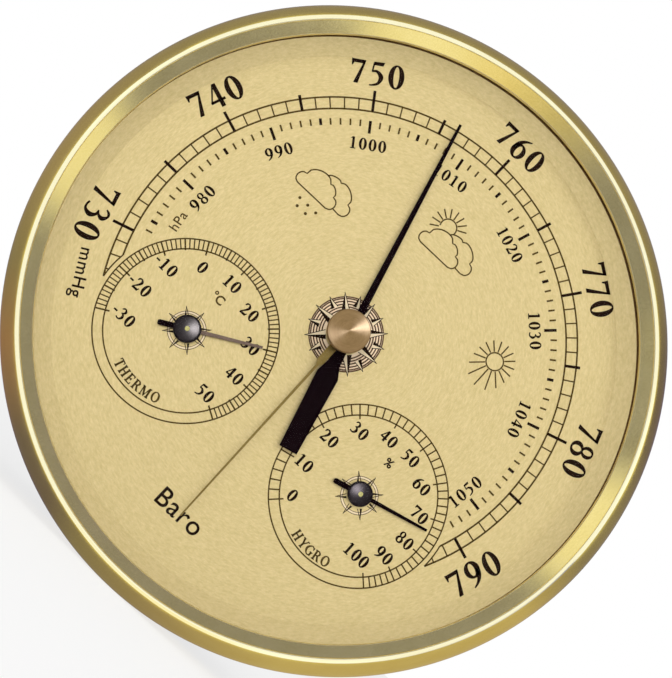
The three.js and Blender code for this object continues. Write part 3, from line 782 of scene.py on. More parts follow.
NODE_FINISHES = {
    finish.slot: finish
    for finish in (
        MOVEMENT_BRASS, MOVEMENT_STEEL, CAPSULE_NICKEL, WASHER_NYLON, CASE_PLASTIC, GASKET_RUBBER, RIM_BRASS,
        DIAL_GOLD, HAND_BLACK, KNOB_BRASS, LENS_GLASS,
    )
}


class FlatDrawing:
    """Flat shapes on one plane of the dial, gathered into one mesh."""

    def __init__(self) -> None:
        """Starts an empty drawing."""
        self.points: Loop = []
        self.faces: list[list[int]] = []

    def polygon(self, loop: Loop) -> None:
        """Adds one filled outline.

        Args:
            loop: The outline, either way round.
        """
        area = sum(a[0] * b[1] - b[0] * a[1] for a, b in zip(loop, loop[1:] + loop[:1]))
        first = len(self.points)
        self.points += loop if area > 0 else loop[::-1]
        self.faces.append(list(range(first, first + len(loop))))

    def strip(self, left: Loop, right: Loop, closed: bool = False) -> None:
        """Fills the space between two paths that run side by side.

        Args:
            left: One path.
            right: The other, with as many points.
            closed: Whether the paths close on themselves.
        """
        count = len(left) if closed else len(left) - 1
        for index in range(count):
            after = (index + 1) % len(left)
            self.polygon([left[index], left[after], right[after], right[index]])

    def stroke(self, path: Loop, widths: float | list[float], closed: bool = False) -> None:
        """Draws a line along a path.

        Args:
            path: The points of its middle.
            widths: Its width, or its width at each point.
            closed: Whether the path closes on itself.
        """
        count = len(path)
        left: Loop = []
        right: Loop = []
        for index, (x, y) in enumerate(path):
            before = path[index - 1] if closed or index else path[index]
            after = path[(index + 1) % count] if closed or index < count - 1 else path[index]
            run_x, run_y = after[0] - before[0], after[1] - before[1]
            length = math.hypot(run_x, run_y) or 1.0
            half = (widths[index] if isinstance(widths, list) else widths) / 2 / length
            left.append((x - run_y * half, y + run_x * half))
            right.append((x + run_y * half, y - run_x * half))
        self.strip(left, right, closed)

    def loop(self, centre: Point, radius: float, width: float, sides: int = SMALL_SIDES) -> None:
        """Draws a closed circle as a line."""
        self.stroke(circle(centre, radius, sides), width, closed=True)

    def spoke(self, centre: Point, angle: float, start: float, end: float, width: float) -> None:
        """Draws a tick that points at a centre."""
        self.stroke([on_dial(start, angle, centre), on_dial(end, angle, centre)], width)

    def piece(self, name: str, depth: float) -> Piece:
        """Turns the drawing into a flat piece.

        Args:
            name: The piece's name.
            depth: Its depth.

        Returns:
            The piece.
        """
        mesh = bpy.data.meshes.new(name)
        mesh.from_pydata([(x * MM, -depth * MM, y * MM) for x, y in self.points], [], self.faces)
        mesh.update()
        return linked(name, mesh)


FIGURE_PITCH = 0.8


@dataclass(frozen=True)
class Glyph:
    """One character, one unit high."""

    width: float = FIGURE_PITCH  # How far the next character lies
    # Pairs of outer and inner ellipses, each as middle x, middle y, half width, half height
    rings: tuple[tuple[Row, Row], ...] = ()
    # Lines of x, y and width through which a smooth stroke passes
    strokes: tuple[tuple[Place, ...], ...] = ()
    shapes: tuple[tuple[Point, ...], ...] = ()  # Filled outlines
    half_turned: bool = False  # Whether the character is drawn upside down


def block(left: float, bottom: float, right: float, top: float) -> tuple[Point, ...]:
    """The outline of a rectangle."""
    return (left, bottom), (right, bottom), (right, top), (left, top)


def foot(left: float, right: float) -> tuple[Point, ...]:
    """A letter's serif on the line."""
    return block(left, 0.0, right, 0.05)


def head(left: float, right: float) -> tuple[Point, ...]:
    """A letter's serif at its top."""
    return block(left, 0.95, right, 1.0)


FIGURE_WIDTH = 0.64
LETTER_BEARING = 0.08
BOWL = (((0.32, 0.325, 0.31, 0.335), (0.33, 0.32, 0.13, 0.27)),)
NECK = (((0.085, 0.34, 0.15), (0.15, 0.62, 0.15), (0.31, 0.85, 0.09), (0.55, 1.0, 0.025)),)
STEM = block(0.1, 0.0, 0.24, 1.0)

GLYPHS = {
    "0": Glyph(rings=(((0.32, 0.5, 0.32, 0.5), (0.32, 0.5, 0.13, 0.45)),)),
    "1": Glyph(shapes=(
        block(0.25, 0.0, 0.41, 1.0), block(0.1, 0.0, 0.56, 0.045),
        ((0.08, 0.84), (0.3, 0.9), (0.3, 1.0), (0.25, 1.0)),
    )),
    "2": Glyph(
        strokes=(
            ((0.05, 0.73, 0.04), (0.12, 0.9, 0.09), (0.3, 0.965, 0.06), (0.47, 0.77, 0.17),
             (0.38, 0.5, 0.12), (0.2, 0.25, 0.06), (0.06, 0.06, 0.05)),
        ),
        shapes=(((0.03, 0.0), (0.56, 0.0), (0.63, 0.25), (0.6, 0.25), (0.53, 0.14), (0.13, 0.14)),),
    ),
    "3": Glyph(strokes=(
        ((0.05, 0.82, 0.03), (0.17, 0.95, 0.08), (0.32, 0.96, 0.07), (0.45, 0.78, 0.15),
         (0.35, 0.6, 0.07), (0.2, 0.54, 0.035)),
        ((0.2, 0.55, 0.035), (0.4, 0.5, 0.09), (0.49, 0.28, 0.17), (0.36, 0.06, 0.09),
         (0.18, 0.03, 0.06), (0.03, 0.09, 0.06)),
    )),
    "4": Glyph(shapes=(
        block(0.36, 0.0, 0.51, 1.0), block(0.02, 0.25, 0.64, 0.335),
        ((0.02, 0.27), (0.07, 0.3), (0.42, 0.98), (0.38, 1.0)),
    )),
    "5": Glyph(
        shapes=(
            ((0.13, 0.87), (0.53, 0.87), (0.59, 1.01), (0.16, 0.99)),
            ((0.09, 0.58), (0.13, 0.56), (0.18, 0.95), (0.14, 0.98)),
        ),
        strokes=(
            ((0.1, 0.58, 0.04), (0.3, 0.61, 0.09), (0.49, 0.4, 0.17), (0.41, 0.14, 0.1),
             (0.22, 0.03, 0.06), (0.04, 0.0, 0.03)),
        ),
    ),
    "6": Glyph(rings=BOWL, strokes=NECK),
    "7": Glyph(shapes=(
        ((0.03, 1.01), (0.1, 0.985), (0.6, 0.985), (0.57, 0.86), (0.13, 0.86), (0.07, 0.73),
         (0.05, 0.73)),
        ((0.55, 0.985), (0.6, 0.985), (0.35, 0.0), (0.19, 0.0)),
    )),
    "8": Glyph(rings=(
        ((0.32, 0.745, 0.245, 0.255), (0.32, 0.745, 0.12, 0.205)),
        ((0.32, 0.265, 0.3, 0.27), (0.32, 0.265, 0.145, 0.21)),
    )),
    "9": Glyph(rings=BOWL, strokes=NECK, half_turned=True),
    "-": Glyph(0.5, shapes=(block(0.02, 0.38, 0.36, 0.47),)),
    "T": Glyph(0.9, shapes=(
        block(0.28, 0.0, 0.42, 1.0), foot(0.18, 0.52), block(0.02, 0.94, 0.68, 1.0),
        block(0.02, 0.76, 0.06, 1.0), block(0.64, 0.76, 0.68, 1.0),
    )),
    "H": Glyph(1.05, shapes=(
        STEM, block(0.6, 0.0, 0.74, 1.0), block(0.2, 0.47, 0.64, 0.54), foot(0.0, 0.34),
        foot(0.5, 0.84), head(0.0, 0.34), head(0.5, 0.84),
    )),
    "E": Glyph(0.9, shapes=(
        STEM, block(0.0, 0.0, 0.66, 0.06), block(0.0, 0.94, 0.62, 1.0), block(0.2, 0.48, 0.48, 0.54),
        block(0.58, 0.78, 0.62, 1.0), block(0.62, 0.0, 0.66, 0.24), block(0.44, 0.38, 0.48, 0.64),
    )),
    "R": Glyph(
        1.0,
        shapes=(
            STEM, foot(0.0, 0.34), head(0.0, 0.3), foot(0.66, 0.84),
            ((0.36, 0.5), (0.5, 0.5), (0.78, 0.0), (0.62, 0.0)),
        ),
        strokes=(
            ((0.24, 0.97, 0.06), (0.44, 0.95, 0.08), (0.58, 0.75, 0.14), (0.44, 0.53, 0.08),
             (0.24, 0.5, 0.06)),
        ),
    ),
    "M": Glyph(1.25, shapes=(
        block(0.1, 0.0, 0.15, 1.0), block(0.78, 0.0, 0.92, 1.0),
        ((0.08, 1.0), (0.24, 1.0), (0.53, 0.2), (0.48, 0.0)),
        ((0.48, 0.0), (0.52, 0.12), (0.82, 1.0), (0.77, 1.0)),
        foot(0.0, 0.26), foot(0.66, 1.02), head(0.0, 0.14), head(0.86, 1.02),
    )),
    "O": Glyph(1.0, rings=(((0.42, 0.5, 0.42, 0.52), (0.42, 0.5, 0.26, 0.46)),)),
    "Y": Glyph(0.95, shapes=(
        block(0.34, 0.0, 0.48, 0.48), ((0.06, 1.0), (0.22, 1.0), (0.47, 0.46), (0.36, 0.42)),
        ((0.4, 0.45), (0.46, 0.42), (0.76, 1.0), (0.7, 1.0)), foot(0.24, 0.58), head(0.0, 0.28),
        head(0.62, 0.86),
    )),
    "G": Glyph(
        1.0,
        strokes=(
            ((0.74, 0.78, 0.03), (0.6, 0.94, 0.06), (0.38, 0.97, 0.06), (0.1, 0.68, 0.15),
             (0.1, 0.34, 0.15), (0.36, 0.03, 0.06), (0.58, 0.04, 0.06), (0.72, 0.12, 0.05)),
        ),
        shapes=(
            block(0.62, 0.02, 0.76, 0.42), block(0.52, 0.38, 0.86, 0.43), block(0.71, 0.7, 0.75, 0.98),
        ),
    ),
}


@dataclass(frozen=True)
class Label:
    """Where letters stand and how large they are."""

    radius: float  # Radius of their middle
    height: float
    pitch: float = 1.0  # How far they are spread
    gain: float = 0.07  # How far the ink spreads past their outlines


@dataclass
class Lettering:
    """Writes labels into a drawing: serif figures by its own outlines, plain words by the built-in font."""

    drawing: FlatDrawing
    label: Label

    def _placed(self, place: Point, angle: float) -> Callable[[Point], Point]:
        """Makes the move of a letter's points to their place on the dial.

        Args:
            place: Where the letter's corner lies.
            angle: How far it is turned clockwise.

        Returns:
            A function that scales, turns and moves a point.
        """
        turn = math.radians(angle)
        side, up = math.cos(turn), math.sin(turn)

        def move(point: Point) -> Point:
            """One point, scaled, turned and moved."""
            x, y = point[0] * self.label.height, point[1] * self.label.height
            return place[0] + x * side + y * up, place[1] - x * up + y * side

        return move

    def glyph(self, letter: str, place: Point, angle: float) -> None:
        """Draws one serif character.

        Args:
            letter: The character.
            place: Where its lower left corner lies.
            angle: How far it is turned clockwise.
        """
        form = GLYPHS[letter]
        move = self._placed(place, angle)

        def put(points: Iterable[Point]) -> Loop:
            """Points moved to their place, upside down first where the glyph is."""
            return [move((FIGURE_WIDTH - x, 1 - y) if form.half_turned else (x, y)) for x, y in points]

        spread = self.label.gain / self.label.height
        for outer, inner in form.rings:
            outside = ellipse(outer[:2], outer[2] + spread, outer[3] + spread)
            inside = ellipse(inner[:2], inner[2] - spread, inner[3] - spread)
            self.drawing.strip(put(outside), put(inside), closed=True)
        for rows in form.strokes:
            fine = smooth_values(list(rows))
            widths = [(row[2] + 2 * spread) * self.label.height for row in fine]
            self.drawing.stroke(put([row[:2] for row in fine]), widths)
        for shape in form.shapes:
            self.drawing.polygon(put(shape))
            self.drawing.stroke(put(shape), 2 * self.label.gain, closed=True)

    def figures(self, text: str, middle: Point, angle: float) -> None:
        """Writes a straight serif label about its middle.

        Args:
            text: The label.
            middle: Where its middle lies.
            angle: How far it is turned clockwise.
        """
        length = sum(GLYPHS[letter].width for letter in text[:-1]) * self.label.pitch + FIGURE_WIDTH
        move = self._placed(middle, angle)
        start = -length / 2
        for letter in text:
            self.glyph(letter, move((start, -0.5)), angle)
            start += GLYPHS[letter].width * self.label.pitch

    def along_bottom(self, text: str, centre: Point) -> None:
        """Writes a serif word along the bottom of a ring, with its tops towards the centre.

        Args:
            text: The word.
            centre: The ring's centre.
        """
        radius, unit = self.label.radius, self.label.pitch * self.label.height
        run = -sum(GLYPHS[letter].width for letter in text) * unit / 2
        for letter in text:
            width = GLYPHS[letter].width
            run += width * unit / 2
            angle = 180 - math.degrees(run / radius)
            move = self._placed(on_dial(radius, angle, centre), angle + 180)
            self.glyph(letter, move((LETTER_BEARING - width / 2, -0.5)), angle + 180)
            run += width * unit / 2

    def plain(self, text: str, middle: Point, angle: float) -> None:
        """Writes a word in the built-in plain letters, whose capitals are 0.73 of the label's height.

        Args:
            text: The word.
            middle: Where its middle lies.
            angle: How far it is turned clockwise.
        """
        curve = bpy.data.curves.new("word", "FONT")
        curve.body = text
        curve.size = 1.0
        curve.align_x = "CENTER"
        curve.align_y = "CENTER"
        curve.offset = self.label.gain / self.label.height
        curve.space_character = self.label.pitch
        mesh = mesh_of_curve(curve)
        move = self._placed(middle, angle)
        for face in mesh.polygons:
            self.drawing.polygon([move(mesh.vertices[index].co[:2]) for index in face.vertices])
        bpy.data.meshes.remove(mesh)


class RingFace(IntEnum):
    """Faces of the bezel's ring, in the order of their finishes."""

    RIM = 0
    CREST = 1
    BAND = 2
    LIP = 3


@dataclass
class Bezel:
    """The spun brass ring, with its screws."""

    sheet: float = 0.8  # Thickness of the brass
    rim_drop: float = 2.9  # How far the rim falls from the crest to the side
    rim_fullness: float = 1.5  # 2 for a round rim, less for a flatter one
    rim_steps: int = 32
    bead: float = 0.35  # Half width of the crest's bead on its inner side
    # Points of the bead, as shares of its half width: in from the crest, and below it
    bead_curve: tuple[Point, ...] = ((1.0, 0.75), (0.75, 0.36), (0.4, 0.1))
    polish: float = 0.5  # Width of the crest's pale line on its outer side, a painted highlight over the polished brass
    groove: float = 0.05  # Width of the groove between the bead and the band
    edge: float = 0.12  # Rounding of the ring's free edges
    screws: int = 3
    screw_chamfer: float = 0.2
    slot_half: float = 0.16  # Half the width of a screw's slot
    slot_depth: float = 0.4

    def build(self) -> None:
        """Builds the ring and its screws, and dresses them."""
        self._ring()
        for index in range(self.screws):
            self._screw(index + 1)

    def _rim(self, crest_radius: float, across: float, along: float, base: float) -> list[Point]:
        """The rim's curve from the crest to the side.

        Args:
            crest_radius: Radius of the crest.
            across: How far the rim reaches past it.
            along: How far the rim falls.
            base: Depth of its foot.

        Returns:
            Radius and depth pairs.
        """
        power = 2 / self.rim_fullness
        curve = []
        for turn in quarter_turns(self.rim_steps):
            fall = max(0.0, math.cos(turn)) ** power
            curve.append((crest_radius + across * math.sin(turn) ** power, base + along * fall))
        return curve

    def _ring(self) -> None:
        """The ring from its lip over the band and crest to the skirt."""
        corners = corners_of("bezel")
        radius, skirt = reach_of("bezel"), min(depth for _, depth in corners)
        crest_radius, crest_depth = max(corners, key=lambda corner: corner[1])
        lip_radius = min(at for at, _ in corners)
        lip_depth = max(depth for at, depth in corners if at < lip_radius + self.edge)
        base = crest_depth - self.rim_drop
        across = radius - crest_radius
        outside = self._rim(crest_radius, across, self.rim_drop, base)
        inside = self._rim(crest_radius, across - self.sheet, self.rim_drop - self.sheet, base)
        slope = (crest_depth - lip_depth) / (crest_radius - lip_radius)
        bead, groove, edge = self.bead, self.groove, self.edge
        band_outer = crest_radius - bead - groove

        def band(at: float) -> Point:
            """A point of the conical band at a radius."""
            return at, crest_depth - (crest_radius - at) * slope

        def finish_of(at: float, depth: float) -> int:
            """Sorts the faces of the ring.

            Args:
                at: Radius of a face's middle.
                depth: Its depth.

            Returns:
                The rim, crest, band or lip.
            """
            # Faces at the lip's edge take the pale brass of its painted highlight
            if at < lip_radius + edge:
                return RingFace.LIP
            if at < band_outer + groove / 2:
                return RingFace.BAND
            # Faces at the crest take the pale brass of its painted highlight
            return RingFace.CREST if at < crest_radius + self.polish and depth > base else RingFace.RIM

        profile = [
            (lip_radius + edge, lip_depth - self.sheet),
            (lip_radius, lip_depth - self.sheet + edge),
            (lip_radius, lip_depth - edge / 2),
            band(lip_radius + edge / 2),
            band(lip_radius + edge),
            band(lip_radius + edge * 2),
            band(band_outer - edge),
            band(band_outer),
            (band_outer + groove / 2, band(band_outer)[1] - groove),
            *[(crest_radius - bead * back, crest_depth - bead * drop) for back, drop in self.bead_curve],
            *outside,
            (radius, skirt + edge),
            (radius - edge, skirt),
            (radius - self.sheet, skirt),
            *reversed(inside),
            (lip_radius + self.sheet, lip_depth - self.sheet),
        ]
        ring = turned("bezel_ring", profile, finish_of=finish_of)
        settle(ring, "case", [RIM_BRASS, CREST_PAINTED_HIGHLIGHT, BAND_BRASS, LIP_PAINTED_HIGHLIGHT], ("bezel",))

    def _screw(self, index: int) -> None:
        """A slotted grub screw in the skirt, where its node lies.

        Args:
            index: Its number in its node's name.
        """
        name = f"bezel_screw_{index}"
        low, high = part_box(name)
        middle = (low + high) / 2
        outward = Vector((middle.x, 0, middle.z)).normalized()
        radius = (high.y - low.y) / 2 / MM
        reach = [v.co.x * outward.x + v.co.z * outward.z for v in bpy.data.objects[name].data.vertices]
        start, end = min(reach) / MM, max(reach) / MM
        bevel = self.screw_chamfer
        profile = [(0, start), (radius, start), (radius, end - bevel), (radius - bevel, end), (0, end)]
        screw = turned(f"bezel_screw_head_{index}", profile, SMALL_SIDES)
        slot = list(block(-radius * 2, -self.slot_half, radius * 2, self.slot_half))
        cut(screw, [plate("slot", [slot], end - self.slot_depth, end + CUT_PAST)])
        aim = outward.to_track_quat("-Y", "Z").to_matrix().to_4x4()
        screw.data.transform(Matrix.Translation((0, middle.y, 0)) @ aim)
        settle(screw, "case", [RIM_BRASS], (name,))


@dataclass
class Front:
    """The lens, gasket, spacer ring and dial plate under the bezel's lip."""

    chamfer: float = 0.15  # Chamfer of the glass
    slope: float = 3.4  # How far the spacer's sloping edge reaches over the dial
    feather: float = 0.005  # Thickness of that edge where it meets the dial
    set_back: float = 0.35  # How far the gasket lies back from its seat's edge
    arbor_hole: float = 1.4  # Radius of the dial's holes for the arbors

    def build(self) -> None:
        """Builds the four pieces where their nodes lie, and dresses them."""
        self._ring("lens", LENS_GLASS)
        self._ring("lens_gasket", GASKET_RUBBER, self.set_back)
        self._spacer()
        loops = [circle(MIDDLE, reach_of("dial_plate"), WIDE_SIDES)]
        for arbor in ("pointer_arbor", "thermo_arbor", "hygro_arbor"):
            loops.append(circle(axis_of(arbor), self.arbor_hole))
        face = plate("dial_face", loops, *depths_of("dial_plate"))
        settle(face, "case", [DIAL_GOLD], ("dial_plate",))

    def _spacer(self) -> None:
        """The spacer, with a bright edge that slopes down to the dial."""
        radii, depths = zip(*corners_of("spacer_ring"))
        inner, outer, rear, front = min(radii), max(radii), min(depths), max(depths)
        foot_of_slope = (inner - self.slope, depths_of("dial_plate")[1] + self.feather)
        profile = [foot_of_slope, (inner, front), (outer, front), (outer, rear)]
        settle(turned("spacer_slope", profile), "case", [DIAL_GOLD], ("spacer_ring",))

    def _ring(self, node: str, finish: Finish, set_back: float = 0.0) -> None:
        """A ring in the place of a node, with chamfered edges.

        Args:
            node: The node.
            finish: Finish of its faces.
            set_back: How far its bore lies back from the node's.
        """
        rear, front = depths_of(node)
        outer = reach_of(node)
        inner = min(radius for radius, _ in corners_of(node)) + set_back
        edge = min(self.chamfer, (front - rear) / 4)
        profile = [
            (inner, rear + edge), (inner, front - edge), (inner + edge, front), (outer - edge, front),
            (outer, front - edge), (outer, rear + edge), (outer - edge, rear), (inner + edge, rear),
        ]

        def finish_of(at: float, _: float) -> int:
            """The face, or the outer edge, painted dark brown as the shade under the bezel's seat."""
            return int(at > outer - edge)

        ring = turned(f"{node}_turned", profile, finish_of=finish_of)
        # The outer edge takes the gasket's dark brown as painted shade under the seat
        settle(ring, "case", [finish, GASKET_RUBBER], (node,))


@dataclass(frozen=True)
class PressureScale:
    """A scale round the large dial."""

    first: int
    last: int
    middle: float  # The pressure at the dial's top
    degrees: float  # Degrees of the dial for one unit
    upright: Point  # Angles between which its letters stand with their feet towards the middle
    label: Label  # Its figures
    unit: Label  # The letters of its unit
    unit_angle: float  # Where its unit stands

    def ticks(self, bold: bool) -> list[tuple[int, float]]:
        """Value and angle of its bold or fine ticks, of which the bold ones are every fifth."""
        values = [value for value in range(self.first, self.last + 1) if (value % 5 == 0) == bold]
        return [(value, (value - self.middle) * self.degrees) for value in values]

    def turn(self, angle: float) -> float:
        """How far letters at an angle are turned, so that they stay upright."""
        return angle if self.upright[0] <= angle <= self.upright[1] else angle + 180


@dataclass(frozen=True)
class SmallDial:
    """A small dial on the large one."""

    side: int  # -1 where it lies on the left, 1 on the right
    centre: Point
    outer: float  # Outer radius of its ring
    inner: float  # Inner radius of its ring
    label: Label  # Its figures
    unit: Label  # The letters of its unit
    # Figures that lie beside their tick's radius, and how far to the right
    shifts: tuple[tuple[int, float], ...]

    def figure_place(self, value: int, angle: float) -> Point:
        """Where the middle of a figure lies."""
        x, y = on_dial(self.label.radius, angle, self.centre)
        return x + dict(self.shifts).get(value, 0.0), y


@dataclass(frozen=True)
class Spike:
    """A two-tone spike of a rosette."""

    base: float  # Radius of its foot
    tip: float  # Radius of its point
    half: float  # Half the width of its foot


@dataclass(frozen=True)
class Sun:
    """A sun of the weather signs."""

    centre: Point
    radius: float
    rays: int
    first: float  # Angle of the first ray
    step: float  # Angle between two rays
    reach: float  # Radius at which a ray ends
    stretch: float = 0.0  # How much farther a ray reaches that points down


FRONT_CLOUD = ((0.0, 0.0, 0.0), (7.8, 0.1, -0.92), (7.4, 2.9, -0.53), (5.2, 4.5, -0.66), (0.2, 2.7, -0.89))
REAR_CLOUD = ((3.6, 5.3, 0.42), (6.5, 6.2, 0.56), (10.6, 3.9, 0.93), (10.5, 1.0, 0.0), (8.95, 1.1, 0.0))
RAIN_DROPS = ((-25.6, 13.9), (-24.85, 12.3), (-23.4, 13.9), (-22.55, 12.3), (-21.15, 13.9))


@dataclass
class Dials:
    """Everything that is printed on the dial."""

    ink: FlatDrawing = field(default_factory=FlatDrawing)  # The print that is being drawn
    lift: float = 0.02  # How far the ink stands off the dial
    fine: float = 0.3  # Width of a fine line
    bold: float = 0.6  # Width of a bold tick
    # The outer pressure scale, with its ladder
    mmhg: PressureScale = PressureScale(
        727, 793, 760, 3.6, (-90, 90), Label(54.7, 5.1), Label(53.4, 3.5, 1.12, 0.042), -121.0
    )
    # The inner pressure scale
    hpa: PressureScale = PressureScale(
        974, 1053, 1013.4, 2.7, (-180, 95), Label(39.7, 2.45, 1.04, 0.056),
        Label(40.0, 2.8, 1.08, 0.028), -99.9,
    )
    ladder: Point = (49.03, 46.6)  # Outer and inner radius of the ladder
    ladder_line: float = 0.375  # Width of its arcs
    ladder_gap: float = 1.05  # Gap between the ladder and a small dial
    mmhg_ends: Point = (49.9, 51.1)  # Radius at which a bold mmHg tick ends, for a five and for a ten
    hpa_tick: Point = (44.6, 43.2)  # Outer and inner radius of an hPa tick
    hpa_ten: float = 41.9  # Inner radius of the tick of a ten
    hpa_line: float = 0.39  # Width of a fine hPa tick
    hpa_drift: float = 250.0  # Degrees of the dial in which the hPa figures move out by a millimetre
    thermo: SmallDial = SmallDial(
        -1, (-23.1, -21.4), 18.35, 16.3, Label(12.95, 2.45, 1.02), Label(8.8, 2.6),
        ((-30, 0.4), (-20, 0.2), (-10, -0.65)),
    )
    thermo_range: tuple[int, int] = (-30, 50)  # Its first and last degree
    thermo_middle: int = 10  # The degree at its top
    thermo_step: float = 3.0  # Degrees of the dial for one of its degrees
    thermo_lines: Point = (0.27, 0.345)  # Width of its ticks, and of those of its fives
    hygro: SmallDial = SmallDial(
        1, (24.3, -21.45), 18.15, 16.0, Label(12.8, 2.45, 1.02), Label(8.7, 2.5), ((0, -0.8), (100, -1.6))
    )
    # Angles of its tens
    hygro_marks: Row = (-135.3, -103.0, -71.2, -42.7, -15.0, 11.5, 38.9, 64.6, 91.1, 114.1, 134.2)
    ten_reach: float = 0.85  # How far the tick of a ten reaches inside a small ring
    five_reach: float = 0.3  # How far the tick of a five does
    word: Label = Label(14.5, 1.95, 0.97)  # The words of the small dials
    title: Label = Label(48.0, 5.4, 1.08, 0.042)  # The large dial's word
    title_place: Point = (0.5, -48.0)  # Where it stands
    rosette_centre: Point = (0.3, 0.25)  # Centre of the large rosette
    rosette_rings: Row = (5.0, 5.55, 6.1, 6.7, 7.25, 7.6)  # Radii of its thin rings
    rosette_inner: float = 4.2  # Inner radius of its light ground
    ring_lines: Place = (0.3, 0.18, 0.14)  # Width of its rings, and of a small rosette's outer and inner ring
    spikes: int = 16  # How many spikes the large rosette has
    long_spike: Spike = Spike(4.2, 8.55, 0.98)  # A spike that starts at its hub
    short_spike: Spike = Spike(5.8, 8.3, 0.75)  # A spike between two long ones
    small_spikes: int = 8  # How many spikes a small rosette has
    small_spike: Spike = Spike(2.6, 4.85, 0.46)  # One of them
    spike_line: float = 0.16  # Width of the line round a spike's light half
    small_rings: Point = (3.75, 3.4)  # Outer and inner radius of a small rosette's light ring
    small_apart: float = 0.05  # How far the thin rings stand off it
    # Where the cloud of rain and the cloud of change lie
    cloud_places: tuple[Point, Point] = ((-28.2, 15.9), (-1.8, 24.9))
    drop: float = 0.33  # Radius of a drop of rain
    half_sun: Sun = Sun((0.45, 31.2), 1.8, 9, -124.0, 23.3, 4.0)  # The sun behind the cloud of change
    half_sun_arc: Point = (-118.0, 100.0)  # Ends of what shows of it
    sun: Sun = Sun((26.3, 17.6), 1.85, 16, 0.0, 22.5, 4.4, 2.1)  # The sun of fair weather
    ray_gap: float = 0.2  # Gap between a sun and its rays

    def build(self) -> None:
        """Draws every print and lays it on the dial."""
        self._lay("pressure_line_print", FINE_INK, self._ladder, 0.8)
        self._lay("pressure_figure_print", DIAL_INK, self._pressure)
        self._lay("thermo_ring_print", FINE_INK, self._thermo_ring)
        self._lay("thermo_figure_print", DIAL_INK, self._thermo)
        self._lay("hygro_ring_print", FINE_INK, self._hygro_ring)
        self._lay("hygro_figure_print", DIAL_INK, self._hygro)
        self._lay("weather_sign_print", FINE_INK, self._signs)
        self._lay("rosette_ground_print", TAN_INK, self._rosette_ground, 0.4)
        self._lay("rosette_ring_print", BROWN_INK, self._rosette_rings, 0.6)
        self._lay("rosette_light_print", PALE_INK, self._light_spikes, 0.8)
        self._lay("rosette_dark_print", DIAL_INK, self._dark_spikes)
        self._lay("word_print", DIAL_INK, self._words)
        self._lay("unit_print", FINE_INK, lambda: self._unit(self.hpa, "hPa"))

    def _lay(self, name: str, finish: Finish, draw: Callable[[], None], share: float = 1.0) -> None:
        """Makes one print from what a method draws.

        Args:
            name: The print's name.
            finish: Its ink.
            draw: The method that draws it.
            share: Share of the ink's lift that this layer has.
        """
        self.ink = FlatDrawing()
        draw()
        depth = depths_of("dial_plate")[1] + self.lift * share
        settle(self.ink.piece(name, depth), "case", [finish])

    def _ladder_ends(self) -> dict[tuple[int, float], float]:
        """Where the arcs of the ladder meet the gaps round the small dials.

        Returns:
            The angle of each end, by its side and the radius of the arc.
        """
        ends = {}
        for dial in (self.thermo, self.hygro):
            away = math.hypot(*dial.centre)
            toward = abs(math.degrees(math.atan2(*dial.centre)))
            reach = dial.outer + self.ladder_gap
            for radius in self.ladder:
                share = (radius**2 + away**2 - reach**2) / (2 * radius * away)
                ends[dial.side, radius] = dial.side * (toward - math.degrees(math.acos(share)))
        return ends

    def _rung(self, angle: float, ends: dict[tuple[int, float], float]) -> float:
        """A rung of the ladder, cut short where a small dial's gap crosses it.

        Args:
            angle: Where it points.
            ends: The ends of the ladder.

        Returns:
            Its inner radius.
        """
        side = 1 if angle > 0 else -1
        outer, inner = self.ladder
        past = abs(angle) - abs(ends[side, inner])
        if past > 0:
            span = abs(ends[side, outer]) - abs(ends[side, inner])
            inner += (outer - inner) * min(1.0, past / span)
        return inner

    def _ladder(self) -> None:
        """The fine lines of the mmHg ladder and the fine hPa ticks."""
        ends = self._ladder_ends()
        for dial in (self.thermo, self.hygro):
            corners = [on_dial(radius, ends[dial.side, radius]) for radius in self.ladder]
            turns = [math.degrees(math.atan2(x - dial.centre[0], y - dial.centre[1])) for x, y in corners]
            self.ink.stroke(arc(dial.centre, dial.outer + self.ladder_gap, *turns, steps=12), self.fine)
        for radius in self.ladder:
            path = arc(MIDDLE, radius, ends[-1, radius], ends[1, radius], steps=240)
            self.ink.stroke(path, self.ladder_line)
        for _, angle in self.mmhg.ticks(bold=False):
            inner = self._rung(angle, ends)
            if inner < self.ladder[0]:
                self.ink.spoke(MIDDLE, angle, inner, self.ladder[0], self.fine)
        outer, inner = self.hpa_tick
        for _, angle in self.hpa.ticks(bold=False):
            self.ink.spoke(MIDDLE, angle, inner, outer, self.hpa_line)

    def _pressure(self) -> None:
        """The bold ticks and the figures of both pressure scales, upright all round."""
        ends = self._ladder_ends()
        scale, label = self.mmhg, self.mmhg.label
        for value, angle in scale.ticks(bold=True):
            ten = value % 10 == 0
            self.ink.spoke(MIDDLE, angle, self._rung(angle, ends), self.mmhg_ends[ten], self.bold)
            if ten:
                place = on_dial(label.radius, angle)
                Lettering(self.ink, label).figures(str(value), place, scale.turn(angle))
        scale, label = self.hpa, self.hpa.label
        outer, inner = self.hpa_tick
        for value, angle in scale.ticks(bold=True):
            ten = value % 10 == 0
            self.ink.spoke(MIDDLE, angle, self.hpa_ten if ten else inner, outer, self.bold)
            if ten:
                place = on_dial(label.radius + angle / self.hpa_drift, angle)
                Lettering(self.ink, label).figures(str(value), place, scale.turn(angle))

    def _ring_scale(self, dial: SmallDial, marks: list[Place], word: str) -> None:
        """A small dial's double ring with its ticks and its word.

        Args:
            dial: The small dial.
            marks: Angle, reach inside the ring and width of each tick.
            word: The word.
        """
        for radius in (dial.outer, dial.inner):
            self.ink.loop(dial.centre, radius, self.fine, sides=180)
        for angle, reach, width in marks:
            self.ink.spoke(dial.centre, angle, dial.inner - reach, dial.outer, width)
        Lettering(self.ink, self.word).along_bottom(word, dial.centre)

    def _small_unit(self, dial: SmallDial, text: str) -> None:
        """Writes a small dial's unit over its middle."""
        Lettering(self.ink, dial.unit).plain(text, on_dial(dial.unit.radius, 0, dial.centre), 0)

